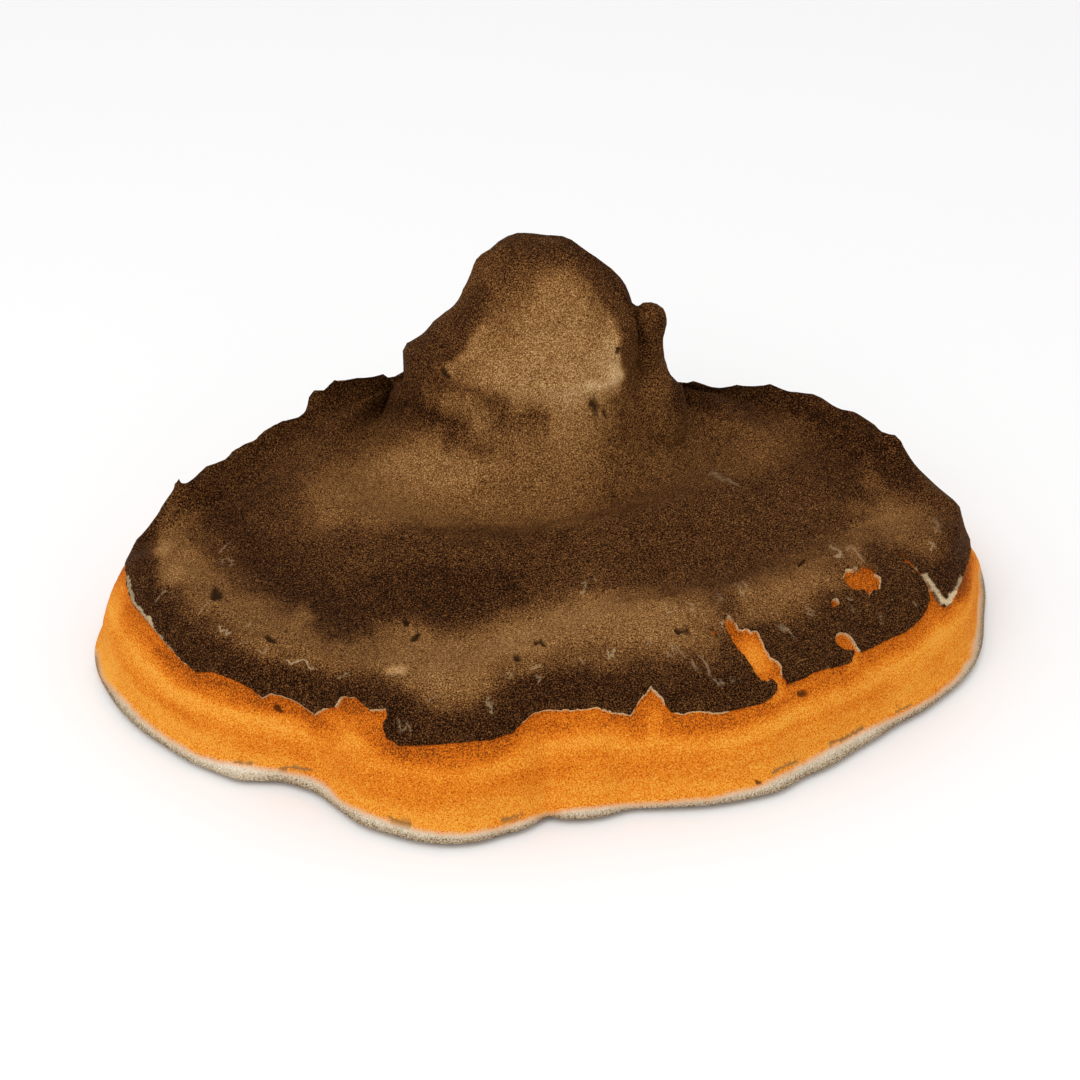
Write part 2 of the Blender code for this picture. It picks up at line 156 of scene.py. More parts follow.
# Sharp corners of that outline, where the skin is made finer
outlineCorners = ((395, 380), (636, 308), (678, 381), (184, 483), (308, 405), (640, 305))
# Where the ridge under the skyline runs in plan, in metres
ridgePlan = (
    (-0.113, 0.019), (-0.109, 0.026), (-0.105, 0.034), (-0.100, 0.041), (-0.090, 0.052),
    (-0.080, 0.060), (-0.070, 0.067), (-0.060, 0.072), (-0.043, 0.078), (0.043, 0.081),
    (0.060, 0.081), (0.073, 0.079), (0.084, 0.075), (0.094, 0.069), (0.104, 0.061),
    (0.110, 0.053), (0.116, 0.0445), (0.121, 0.036), (0.1255, 0.028),
)
ridgeHidden = (
    (-0.036, 0.088, 0.045), (-0.020, 0.096, 0.040), (-0.003, 0.099, 0.038), (0.015, 0.098, 0.039),
    (0.031, 0.090, 0.042),
)
# The knob's outline: row, left edge and right edge, in pixels, from its foot up
knobLevels = (
    (356, 403, 641), (345, 406, 641), (336, 421, 641), (327, 430, 641), (315, 443, 640),
    (304, 458, 635), (292, 462, 629), (280, 468, 621), (268, 472, 606), (257, 478, 592),
    (247, 493, 577),
)
# The torn lower edge of the crust, in pixels, from the left end to the right end
crustEdgeSeen = (
    (124, 560), (126, 574), (126, 586), (132, 604), (149, 624), (161, 639), (181, 661), (195, 672),
    (212, 672), (233, 680), (251, 689), (262, 698), (271, 694), (291, 699), (314, 715), (322, 709),
    (334, 707), (340, 697), (352, 697), (362, 704), (369, 710), (385, 709), (386, 716), (382, 724),
    (385, 737), (398, 746), (432, 745), (463, 742), (490, 740), (512, 733), (524, 721), (536, 712),
    (546, 710), (573, 709), (598, 707), (613, 712), (631, 715), (639, 701), (651, 687), (661, 697),
    (671, 712), (682, 714), (696, 711), (719, 713), (739, 709), (755, 705), (765, 702), (773, 697),
    (778, 690), (778, 684), (772, 678), (763, 680), (758, 676), (748, 660), (742, 653), (735, 645),
    (727, 630), (723, 621), (727, 618), (732, 619), (736, 625), (740, 631), (747, 629), (752, 632),
    (757, 630), (761, 638), (766, 650), (770, 656), (778, 660), (781, 665), (783, 675), (788, 684),
    (795, 681), (805, 678), (815, 672), (825, 669), (841, 666), (852, 662), (855, 655), (854, 649),
    (845, 649), (838, 645), (835, 640), (837, 634), (843, 632), (850, 635), (855, 643), (858, 649),
    (862, 652), (875, 647), (885, 641), (895, 637), (908, 631), (921, 619), (928, 608), (931, 600),
    (928, 588), (924, 579), (919, 572), (912, 565), (906, 558), (902, 552), (912, 562), (920, 571),
    (928, 583), (934, 594), (939, 602), (945, 607), (951, 605), (956, 595), (961, 583), (966, 570),
    (970, 557), (972, 548),
)
# A window torn in the crust, in pixels
windowSeen = (
    (846, 569), (844, 576), (847, 583), (851, 587), (858, 589), (864, 588), (869, 594), (873, 589),
    (880, 588), (881, 582), (880, 576), (876, 574), (873, 569), (866, 566), (860, 567), (857, 571),
    (852, 569),
)
frontAngles = (math.radians(-153), math.radians(-11))
# Patches of the crust's tone, many of them painted light and painted shade: middle, reach across and
# down, tilt in degrees, tone, strength
crustToneAndShadePatches = (
    (705, 450, 150, 90, 0, 0.45, 0.9),
    (700, 545, 150, 50, -4, 0.30, 0.9),
    (740, 497, 80, 26, -5, 0.31, 0.75),
    (775, 478, 40, 26, 0, 0.28, 0.6),
    (595, 550, 26, 60, 0, 0.40, 0.7),
    (225, 495, 62, 66, -40, 0.22, 0.9),
    (250, 476, 34, 40, -20, 0.19, 0.7),
    (232, 490, 12, 12, 0, 0.30, 0.6),
    (305, 446, 66, 26, -25, 0.30, 0.8),
    (365, 402, 85, 32, -8, 0.27, 0.95),
    (430, 490, 180, 66, -5, 0.60, 1.0),
    (290, 480, 46, 40, -30, 0.34, 0.8),
    (440, 470, 115, 42, -6, 0.76, 0.9),
    (435, 468, 60, 22, 8, 0.86, 0.8),
    (335, 500, 46, 30, -20, 0.64, 0.7),
    (378, 434, 32, 14, 0, 0.44, 0.7),
    (560, 455, 55, 62, 0, 0.74, 0.9),
    (535, 500, 60, 30, 0, 0.62, 0.8),
    (450, 544, 220, 24, 0, 0.27, 0.85),
    (272, 500, 40, 50, -20, 0.20, 0.5),
    (660, 400, 34, 44, 0, 0.48, 0.9),
    # From here the knob: its front face and foot are painted light, its top, left and right rims painted
    # shade
    (520, 312, 122, 96, 0, 0.42, 1.0),
    (490, 268, 34, 34, 0, 0.42, 0.8),
    (428, 354, 40, 46, 0, 0.27, 0.95),
    (452, 318, 32, 22, -38, 0.32, 0.9),
    (550, 246, 84, 20, 6, 0.26, 0.9),
    (614, 284, 34, 46, -35, 0.29, 0.95),
    (548, 348, 80, 62, 0, 0.78, 1.0),
    (556, 332, 56, 62, 8, 0.92, 1.0),
    (556, 300, 26, 34, -14, 0.86, 0.8),
    (524, 278, 20, 16, 0, 0.56, 0.6),
    (566, 266, 24, 10, 10, 0.44, 0.6),
    (555, 380, 72, 32, 0, 0.97, 1.0),
    (492, 374, 38, 26, 0, 0.94, 0.9),
    (482, 350, 20, 26, 20, 0.88, 0.7),
    (556, 408, 46, 24, 0, 1.00, 0.9),
    (458, 374, 22, 16, 20, 0.66, 0.9),
    (612, 340, 12, 36, -5, 1.05, 0.7),
    (600, 416, 24, 20, 0, 0.72, 0.8),
    (623, 342, 9, 52, 0, 0.38, 0.85),
    (611, 304, 9, 22, -30, 0.40, 0.7),
    (556, 430, 40, 32, 0, 0.86, 0.9),
    (458, 415, 44, 24, 28, 0.80, 0.9),
    (548, 452, 26, 20, 0, 0.68, 0.6),
    (652, 342, 18, 52, 0, 0.36, 0.95),
    (845, 465, 60, 36, 12, 0.21, 0.85),
    (884, 480, 30, 20, 35, 0.64, 0.75),
    (760, 452, 26, 20, 0, 0.50, 0.8),
    (650, 450, 40, 44, 0, 0.49, 0.5),
    # A darker band in the hollow behind the crest, painted shade
    (410, 588, 130, 26, -4, 0.17, 0.95),
    (300, 566, 60, 26, 20, 0.23, 0.8),
)
# Runs of the crust's tone, many of them painted shade and painted light: the line's points, reach to each
# side, tone, strength
crustToneAndShadeRuns = (
    # Painted shade along the skyline's rim, left of the knob
    (((152, 520), (180, 488), (225, 466), (260, 440), (300, 425), (318, 398), (400, 384)),
     14, 0.25, 0.9),
    # The furrow behind the crest, darkened as painted shade in that hollow
    (((222, 520), (256, 572), (304, 598), (350, 612), (420, 604), (500, 586)), 28, 0.17, 0.95),
    # Painted shade along the skyline's rim, right of the knob
    (((688, 388), (740, 394), (800, 400), (850, 422), (885, 446), (900, 470)), 26, 0.17, 0.95),
    (((128, 560), (134, 590), (165, 630), (190, 654), (230, 670), (290, 688), (340, 688), (382, 694),
      (396, 728), (440, 732), (490, 726), (530, 694), (580, 690), (640, 686), (690, 694), (750, 690)),
     30, 0.18, 0.95),
    (((775, 640), (800, 660), (840, 640), (880, 628), (912, 604), (922, 586)), 38, 0.21, 0.95),
    (((172, 500), (176, 516)), 14, 0.30, 0.8),
    (((560, 606), (640, 599), (700, 601)), 8, 0.38, 0.6),
    (((180, 532), (190, 556), (214, 584), (244, 610), (268, 630), (304, 645), (350, 650), (392, 651)),
     30, 0.60, 1.0),
    (((200, 532), (220, 556), (240, 578)), 14, 0.34, 0.7),
    (((416, 657), (440, 662), (470, 660), (500, 647), (540, 634), (590, 622), (655, 625), (692, 627)),
     35, 0.74, 1.0),
    (((330, 604), (352, 616), (372, 606)), 17, 0.17, 0.95),
    (((740, 606), (790, 590), (835, 568), (866, 548), (892, 520), (935, 536)), 27, 0.61, 0.95),
    (((880, 556), (900, 578), (905, 600)), 22, 0.23, 0.9),
    # Painted shade in the creases at the knob's foot
    (((390, 401), (408, 402), (424, 410), (440, 421), (454, 432)), 11, 0.13, 0.95),
    (((456, 434), (470, 444), (486, 452)), 9, 0.36, 0.7),
    (((500, 400), (516, 409), (540, 415)), 10, 0.44, 0.9),
    # Painted shade on the knob's left shoulder and along its top right rim
    (((480, 300), (472, 320), (460, 338), (440, 358)), 14, 0.29, 0.95),
    (((560, 237), (592, 256), (614, 280), (630, 302)), 8, 0.20, 0.9),
    (((572, 262), (594, 282), (606, 300), (613, 322), (619, 350)), 6, 0.34, 0.7),
    # Painted light along a crease on the knob's left shoulder
    (((488, 328), (478, 347), (466, 360), (448, 372)), 5, 0.88, 0.8),
    # Painted shade in the seam between the knob and the stub
    (((637, 312), (640, 330), (641, 350)), 5, 0.20, 0.9),
    # Painted shade along the crust's right and left rims
    (((951, 530), (952, 560), (946, 590)), 16, 0.19, 0.95),
    (((148, 522), (138, 545), (134, 575)), 15, 0.22, 0.95),
)
# Small spots of the crust's tone, laid last, some of them painted highlights
crustToneSpotsAndHighlights = (
    (164, 548, 9, 15, 0, 0.95, 0.85),
    (180, 574, 9, 11, -20, 0.95, 0.85),
    (240, 612, 22, 16, 20, 0.64, 0.6),
    (303, 626, 20, 20, 0, 0.68, 0.8),
    (374, 634, 18, 10, 0, 0.50, 0.7),
    (397, 671, 12, 4, -4, 1.10, 0.9),
    (458, 416, 22, 12, 30, 0.62, 0.7),
    (450, 682, 38, 32, 0, 0.76, 0.9),
    (520, 640, 44, 16, -10, 0.84, 0.7),
    (580, 616, 46, 13, 0, 0.82, 0.8),
    (655, 620, 34, 22, 0, 0.80, 0.8),
    (706, 632, 24, 20, 10, 0.60, 0.7),
    (728, 604, 16, 18, 0, 0.34, 0.7),
    (788, 592, 46, 14, -12, 0.72, 0.8),
    (822, 546, 24, 14, -12, 0.42, 0.6),
    (836, 566, 16, 12, -12, 0.42, 0.6),
    (888, 518, 28, 17, 10, 0.70, 0.8),
    (926, 534, 22, 13, 20, 0.50, 0.8),
    (940, 516, 12, 12, 0, 0.28, 0.6),
    (940, 549, 10, 12, 0, 0.26, 0.6),
    # Painted highlight on the knob's front, lower right
    (606, 345, 12, 26, 0, 0.98, 0.8),
    (580, 393, 34, 10, -12, 1.20, 0.9),
    (604, 362, 11, 26, 5, 1.18, 0.9),
    (611, 374, 8, 17, 8, 1.46, 0.95),
    (600, 387, 16, 8, -25, 1.44, 0.95),
    (497, 424, 9, 9, 0, 0.64, 0.8),
    (527, 420, 10, 14, -20, 0.54, 0.6),
    (440, 396, 10, 12, 0, 0.36, 0.6),
    (465, 413, 12, 8, 20, 0.74, 0.7),
    (380, 398, 14, 10, 0, 0.38, 0.6),
    (692, 402, 16, 12, 0, 0.28, 0.6),
    (160, 562, 9, 9, 0, 0.72, 0.8),
    (186, 511, 14, 8, -25, 0.20, 0.8),
    (530, 433, 16, 15, 0, 0.62, 0.7),
    (188, 572, 24, 26, -20, 0.76, 0.7),
    (342, 629, 38, 13, 0, 0.19, 0.9),
    (572, 656, 12, 12, 0, 0.48, 0.7),
    (518, 668, 34, 16, 0, 0.60, 0.8),
    (606, 658, 34, 14, 0, 0.58, 0.8),
    (172, 578, 18, 20, 0, 0.82, 0.8),
    (204, 597, 20, 15, 20, 0.62, 0.7),
    (216, 628, 20, 13, 20, 0.48, 0.6),
    (860, 506, 22, 12, 0, 0.56, 0.6),
    (850, 600, 40, 20, 0, 0.25, 0.6),
)
baseTone = 0.33
# Pits, darkened as painted shade in them: how far each reaches from its line, in pixels, and the line
pits = (
    (4.4, ((214, 596), (216, 591), (220, 595))), (2.6, ((267, 636), (270, 639), (274, 641))),
    (2.2, ((413, 639), (416, 637), (419, 634))), (2.2, ((536, 643), (540, 641), (544, 645))),
    (3.0, ((516, 657), (519, 659))), (2.0, ((676, 630), (680, 633), (687, 630))),
    (1.8, ((799, 566), (801, 563), (804, 561))), (2.6, ((405, 621), (407, 624))),
    (2.6, ((616, 349), (615, 351))), (3.0, ((445, 371), (448, 377))), (3.8, ((592, 404), (595, 405))),
    (2.4, ((604, 414), (605, 416))), (2.6, ((276, 707), (280, 711))), (4.0, ((804, 693), (807, 692))),
    (2.0, ((758, 782), (759, 783))),
)
# Specks where the crust is broken through to the flesh: middle and radius in pixels
specks = ((835, 602, 3.8), (713, 632, 2.2), (903, 553, 2.2), (907, 560, 1.8))
# Pale scratches, casts and mite tracks: how pale, half width in pixels, and the line
scratches = (
    (0.9, 1.0, ((219, 626), (221, 631), (224, 629), (226, 629), (226, 634), (230, 632))),
    (0.5, 0.9, ((220, 552), (224, 548), (228, 544))),
    (0.5, 0.9, ((222, 564), (223, 560), (227, 558), (231, 561), (232, 565))),
    (0.5, 1.0, ((245, 626), (250, 624), (251, 620))),
    (0.4, 0.9, ((240, 643), (243, 642), (247, 643))),
    (0.5, 0.9, ((259, 650), (263, 654), (266, 652), (266, 648))),
    (1.0, 1.0, ((287, 660), (291, 664), (296, 662), (300, 660), (306, 660), (307, 665), (309, 669),
      (313, 668))),
    (0.5, 0.9, ((156, 601), (159, 597))),
    (0.7, 1.0, ((161, 594), (165, 591))),
    (0.4, 0.9, ((200, 612), (205, 605), (210, 600))),
    (0.6, 0.9, ((337, 678), (343, 676), (346, 672), (350, 675))),
    (0.6, 1.0, ((388, 672), (394, 675), (399, 671), (404, 674))),
    (0.5, 1.0, ((399, 721), (401, 730), (404, 730), (408, 723), (411, 731))),
    (0.8, 1.3, ((487, 702), (490, 707), (492, 713))),
    (0.5, 0.9, ((505, 675), (509, 672), (512, 675), (508, 679))),
    (0.8, 1.0, ((531, 670), (535, 669), (540, 666))),
    (0.6, 1.0, ((536, 677), (541, 678), (538, 683))),
    (0.4, 1.2, ((475, 677), (476, 678))),
    (0.5, 0.9, ((425, 698), (430, 699), (436, 695))),
    (0.7, 1.0, ((582, 583), (586, 582), (585, 588), (583, 593), (581, 594))),
    (0.5, 1.0, ((595, 579), (596, 580))),
    (0.5, 1.0, ((618, 601), (619, 599))),
    (0.5, 0.9, ((665, 603), (666, 608), (667, 614), (673, 611), (676, 607))),
    (0.5, 0.9, ((689, 604), (693, 603), (693, 608), (689, 609))),
    (1.0, 1.0, ((608, 650), (609, 655), (612, 653), (615, 649))),
    (0.5, 0.9, ((667, 657), (671, 652), (675, 648), (679, 649), (682, 653), (685, 658))),
    (0.6, 1.0, ((702, 658), (706, 664), (709, 670), (709, 677))),
    (0.6, 0.9, ((714, 679), (718, 684), (723, 682))),
    (0.35, 0.9, ((731, 681), (738, 677))),
    (0.45, 1.1, ((735, 584), (740, 589), (741, 596), (746, 591), (747, 586), (742, 582))),
    (0.35, 1.0, ((718, 594), (721, 599), (719, 602))),
    (0.8, 1.1, ((693, 664), (694, 665))),
    (0.5, 1.1, ((581, 660), (584, 663))),
    (0.35, 1.6, ((646, 643), (652, 642))),
    (0.9, 1.4, ((831, 548), (836, 550), (840, 552), (840, 556), (837, 557))),
    (0.45, 1.3, ((847, 551), (851, 547), (855, 551), (858, 555), (863, 561))),
    (0.7, 1.8, ((855, 568), (858, 570))),
    (0.5, 0.9, ((808, 613), (811, 609), (813, 613), (810, 615))),
    (0.6, 1.0, ((782, 631), (788, 629), (792, 635))),
    (0.9, 1.2, ((850, 600), (851, 600))),
    (0.5, 1.0, ((892, 600), (893, 600))),
    (0.3, 0.9, ((853, 608), (854, 612))),
    (0.3, 0.9, ((880, 615), (881, 624))),
    (0.6, 1.0, ((930, 541), (934, 545), (931, 550))),
    (0.5, 1.0, ((914, 602), (916, 606))),
    (0.4, 1.6, ((712, 472), (719, 476), (722, 480), (728, 479), (735, 484))),
    (0.4, 1.6, ((935, 519), (938, 525), (937, 531))),
)
# Where the torn edge shows its pale inside: middle, reach, tilt, width of the pale line in mm
paleTorn = (
    (168, 647, 34, 18, 42, 0.24), (292, 703, 38, 16, 10, 0.18), (352, 701, 24, 12, 0, 0.15),
    (380, 714, 14, 12, 0, 0.20), (545, 712, 34, 12, -8, 0.09), (590, 708, 24, 9, 0, 0.09),
    (619, 713, 22, 9, 0, 0.20), (651, 696, 16, 22, 0, 0.24), (702, 712, 30, 9, 0, 0.16),
    (755, 652, 40, 52, 45, 0.12), (845, 634, 14, 8, 0, 0.16), (856, 646, 6, 12, 0, 0.20),
    (862, 590, 36, 20, 0, 0.24), (843, 575, 12, 18, 0, 0.24),
)
# Wider pale margins where the torn crust curls: how pale, half width in pixels, and the line
paleRuns = (
    (0.5, 1.5, ((128, 577), (130, 588), (134, 602))),
    (0.6, 1.3, ((134, 602), (141, 611), (149, 621), (153, 628))),
    (0.7, 1.7, ((149, 617), (152, 624))),
    (0.4, 1.0, ((153, 628), (162, 639), (176, 656))),
    (1.0, 3.2, ((939, 596), (943, 601), (947, 603), (951, 600), (955, 593))),
    (0.75, 2.6, ((926, 576), (932, 586), (939, 596))),
    (0.6, 2.8, ((955, 593), (958, 586), (961, 579))),
    (0.8, 0.9, ((907, 559), (915, 567), (923, 576), (928, 587), (931, 596))),
    (0.5, 0.7, ((722, 628), (723, 622), (728, 619), (733, 621))),
    (0.35, 1.2, ((123, 566), (118, 580), (114, 592))),
)
# The flesh's tone from the crust's edge down to the lip, deepest just under the crust's edge, partly
# painted shade beneath it and partly the flesh's own deeper band: share of the way, tone
fleshAcross = ((0.0, 0.28), (0.16, 0.36), (0.36, 0.78), (0.62, 0.66), (0.86, 0.80), (1.0, 0.80))
# Where the bare flesh is deeper or lighter than it mostly is there, several of the deeper ones painted
# shade under the crust's notch, in the torn window and specks and beside the V: patches as above, by how
# much
fleshToneAndShadePatches = (
    (350, 706, 18, 9, 8, -0.22), (862, 577, 24, 20, 0, -0.17), (835, 602, 8, 8, 0, -0.12),
    (733, 626, 11, 12, 0, -0.16), (756, 655, 16, 24, -30, 0.34), (903, 553, 6, 6, 0, -0.2),
    (655, 722, 9, 18, 0, 0.22), (780, 688, 8, 20, 0, 0.28), (450, 779, 110, 13, 0, -0.13),
    (372, 733, 28, 12, 0, -0.10), (360, 756, 24, 10, 20, -0.10), (555, 731, 24, 10, 0, -0.12),
    (350, 742, 18, 10, 0, 0.08), (963, 588, 7, 22, 20, -0.10), (113, 600, 10, 30, 15, 0.25),
    (105, 660, 10, 40, -10, 0.2), (952, 636, 26, 26, -30, 0.08), (855, 661, 6, 10, 0, 0.3),
    (912, 684, 30, 14, -35, 0.12), (962, 605, 14, 20, 0, 0.12),
)
# Growth bands along the flesh, and one painted shadow: the line's points, reach to each side, by how much
# lighter or deeper
fleshBandsAndShadow = (
    (((120, 645), (137, 668), (160, 688), (205, 708), (248, 719), (298, 730)), 8, 0.14),
    (((330, 756), (360, 768), (400, 776)), 8, -0.05),
    (((480, 775), (508, 765), (540, 742), (580, 734), (620, 737)), 10, 0.09),
    (((640, 727), (700, 732), (745, 726)), 9, -0.12),
    (((762, 712), (800, 702), (850, 684)), 8, -0.10),
    (((113, 640), (128, 668), (172, 714), (214, 734), (246, 744), (300, 756)), 6, -0.10),
    (((316, 768), (350, 786), (400, 798), (450, 797), (500, 784), (540, 768), (590, 760), (640, 768),
      (700, 766)), 12, -0.09),
    (((108, 672), (145, 712), (186, 739), (225, 749)), 8, 0.08),
    (((335, 790), (380, 812), (440, 825), (480, 819), (520, 804)), 8, 0.05),
    (((158, 656), (176, 670), (204, 688), (246, 702), (296, 717), (330, 735)), 10, -0.17),
    (((720, 741), (784, 720), (840, 697), (880, 681), (920, 660), (944, 636)), 8, 0.08),
    (((750, 744), (808, 724), (864, 703), (904, 687), (940, 662)), 5, -0.04),
    (((386, 752), (430, 758), (490, 754), (512, 742)), 9, -0.10),
    # Painted shadow beside the right arm of the torn V
    (((968, 556), (970, 576), (966, 594)), 6, -0.26),
)
# The line where the flesh turns into the pale lip, in pixels, left to right
lipEdgeSeen = (
    (97, 648), (104, 676), (120, 694), (141, 716), (166, 736), (196, 753), (218, 760), (248, 765),
    (279, 769), (310, 776), (325, 783), (340, 799), (365, 812), (392, 821), (423, 830), (463, 833),
    (493, 828), (513, 823), (546, 812), (579, 808), (613, 804), (662, 801), (712, 797), (739, 790),
    (762, 784), (795, 767), (828, 749), (861, 731), (894, 716), (928, 699), (954, 679), (971, 656),
    (977, 626), (979, 593), (976, 566), (969, 540),
)
# How dark the lip is from the flesh to its outer edge, darker outwards partly as painted shade where it
# curls under and partly dirt: share of the way, tone
lipToneAndShadeAcross = ((0.0, 0.14), (0.15, 0.16), (0.35, 0.36), (0.6, 0.62), (0.85, 0.80), (1.0, 0.88))
# Where it is darker or lighter than that: patches as above, by how much
lipPatches = (
    (100, 676, 14, 46, -20, 0.14), (135, 722, 34, 26, 40, 0.04), (232, 770, 48, 16, 15, -0.18),
    (290, 778, 30, 12, 0, 0.10), (330, 800, 34, 26, 40, 0.02), (400, 834, 50, 16, 20, 0.0),
    (548, 816, 14, 10, 0, 0.22), (500, 832, 22, 10, 0, 0.06), (905, 722, 60, 22, -32, 0.08),
    (870, 738, 16, 12, 0, -0.12), (984, 610, 12, 60, 0, 0.12),
)
# Dark cracks along that line, in pixels
lipCracks = (
    ((234, 762), (243, 763), (251, 764)), ((281, 767), (296, 768), (312, 771)),
    ((389, 817), (399, 822), (411, 825)), ((502, 820), (512, 817), (524, 815)),
    ((773, 774), (783, 768), (797, 762)), ((832, 743), (848, 737), (864, 728)),
    ((897, 712), (910, 705)),
)
crackReach = 1.1
# Creases at the knob's foot: points in pixels, depth in metres, reach in pixels
creases = (
    (((406, 398), (425, 410), (443, 423), (458, 435)), 0.0008, 9),
    (((502, 402), (518, 409), (538, 414)), 0.0004, 9),
)
stub = {
    "axis": (0.0330, 0.0625),
    "profile": (  # height and radius, from inside the crust to the tip
        (0.036, 0.0120), (0.050, 0.0120), (0.0573, 0.0100), (0.0597, 0.0078), (0.0622, 0.0060),
        (0.0649, 0.0053), (0.0677, 0.0047), (0.0704, 0.0045), (0.0731, 0.0045), (0.0759, 0.0047),
        (0.0782, 0.0050), (0.0806, 0.0051), (0.0826, 0.0045), (0.0840, 0.0031), (0.0848, 0.0),
    ),
    "sides": 28,
    "roughness": 0.0005,
}
lipAngles = (math.radians(-151), math.radians(-14))


def atHeight(pixel, height):
    ray = rayThrough(pixel)
    return eye + ray * (height - eye[2]) / ray[2]


def atDepth(pixel, depth):
    ray = rayThrough(pixel)
    return eye + ray * (depth - eye[1]) / ray[1]


def rayThrough(pixel):
    half = sight["pictureSide"] / 2
    across = (pixel[0] - half) / lensPixels
    rise = (half - pixel[1]) / lensPixels
    return forward + np.array((across, 0, 0)) + upward * rise


def seenAt(points):
    away = (points - eye) @ forward
    half = sight["pictureSide"] / 2
    column = half + lensPixels * (points - eye)[:, 0] / away
    row = half - lensPixels * ((points - eye) @ upward) / away
    return np.stack((column, row), axis=1)


def smoothstep(low, high, value):
    share = np.clip((value - low) / (high - low), 0, 1)
    return share * share * (3 - 2 * share)


def curveThrough(knots, values, at):
    gaps = np.diff(knots)[:, None]
    rates = np.diff(values, axis=0) / gaps
    inner = (rates[:-1] * gaps[1:] + rates[1:] * gaps[:-1]) / (gaps[1:] + gaps[:-1])
    slopes = np.concatenate((rates[:1], inner, rates[-1:]))
    i = np.clip(np.searchsorted(knots, at, side="right") - 1, 0, len(knots) - 2)
    column = np.arange(len(at)) if values.shape[1] > 1 else np.zeros(len(at), int)
    gap = gaps[i, 0]
    t = (at - knots[i]) / gap
    low, high = values[i, column], values[i + 1, column]
    lowSlope, highSlope = slopes[i, column] * gap, slopes[i + 1, column] * gap
    square, cube = t**2, t**3
    return (
        low * (2 * cube - 3 * square + 1)
        + lowSlope * (cube - 2 * square + t)
        + high * (3 * square - 2 * cube)
        + highSlope * (cube - square)
    )


def ringAt(points, angle):
    points = np.asarray(points, float)
    offset = points[:, :2] - conk["knobAxis"]
    around = np.arctan2(offset[:, 1], offset[:, 0])
    order = np.argsort(around)
    turn = 2 * math.pi
    around = around[order]
    knots = np.concatenate((around[-2:] - turn, around, around[:2] + turn))
    values = np.stack((np.hypot(offset[:, 0], offset[:, 1]), points[:, 2]), axis=1)[order]
    values = np.concatenate((values[-2:], values, values[:2]))
    return curveThrough(knots, values[:, :1], angle), curveThrough(knots, values[:, 1:], angle)


def lipReach(angle):
    lipHeight = conk["flank"][1][0]
    seen = [atHeight(pixel, lipHeight) for pixel in lipSeen]
    return ringAt(seen + [(x, y, lipHeight) for x, y in lipHidden], angle)[0]


def onRidge(pixel):
    across, back = np.array(ridgePlan).T
    depth = 0.05
    for _ in range(12):
        point = atDepth(pixel, depth)
        depth = np.interp(point[0], across, back)
    return point


def ovalAt(left, right, front, back, height, angle):
    points = []
    for i in range(24):
        around = 2 * math.pi * i / 24
        across, along = math.cos(around), math.sin(around)
        x = across * (right if across > 0 else left)
        y = along * (back if along > 0 else front)
        points.append((conk["knobAxis"][0] + x, conk["knobAxis"][1] + y, height))
    return ringAt(points, angle)


def stationRings(angle):
    lip = lipReach(angle)
    slopeAngle, slope = np.array(conk["flankSlope"]).T
    slope = np.interp(np.degrees(angle), slopeAngle, slope, period=360)
    rings = [(lip - inset * slope, np.full_like(angle, height)) for height, inset in conk["flank"]]
    front = [atHeight(pixel, conk["crestHeight"]) for pixel in crestSeen]
    ridge = [onRidge(pixel) for pixel in skylineLeft + skylineRight]
    crest, crestHeight = ringAt(front + ridge + list(ridgeHidden), angle)
    crestHeight = crestHeight + conk["spareSize"] * (1 - frontShare(angle, frontAngles))
    crest = np.minimum(crest, rings[-1][0] - conk["crestClearance"])
    rings.append((crest, crestHeight))
    turns = np.radians(np.linspace(-12, 12, 9))
    around = [(angle + turn + math.pi) % (2 * math.pi) - math.pi for turn in turns]
    crestHeight = np.mean([ringAt(front + ridge + list(ridgeHidden), a)[1] for a in around], axis=0)
    foot, footHeight = ovalAt(*conk["knobFootReach"], conk["knobFootHeight"], angle)
    footHeight = footHeight + 0.003 * np.sin(angle)
    gap = crest - foot
    for share, depth in ((0.28, 1.0), (0.62, 0.15)):
        height = crestHeight + (footHeight - crestHeight) * share
        rings.append((crest - gap * share, height - depth * conk["furrowDepthShare"] * gap))
    rings.append((foot, footHeight))
    axisX, axisY = conk["knobAxis"]
    for row, leftPixel, rightPixel in knobLevels:
        left = atDepth((leftPixel, row), axisY)
        right = atDepth((rightPixel, row), axisY)
        depth = conk["knobDepthShare"] * (right[0] - left[0]) / 2
        rings.append(ovalAt(axisX - left[0], right[0] - axisX, depth, depth, left[2], angle))
    top = atDepth(conk["knobTop"], axisY)
    rings.append((np.zeros_like(angle), np.full_like(angle, top[2])))
    return np.array([r for r, _ in rings]), np.array([h for _, h in rings])


def spokeAngles(share):
    angle = np.linspace(-math.pi, math.pi, 1441)
    reach = lipReach(angle)
    outline = np.stack((reach * np.cos(angle), reach * np.sin(angle)), axis=1)
    step = np.hypot(*np.diff(outline, axis=0).T)
    middle = (angle[1:] + angle[:-1]) / 2
    front = (middle > frontAngles[0]) & (middle < frontAngles[1])
    step = step * np.where(front, conk["frontSpokeWeight"], 1)
    way = np.concatenate(((0,), np.cumsum(step)))
    return np.interp(share, way / way[-1], angle)


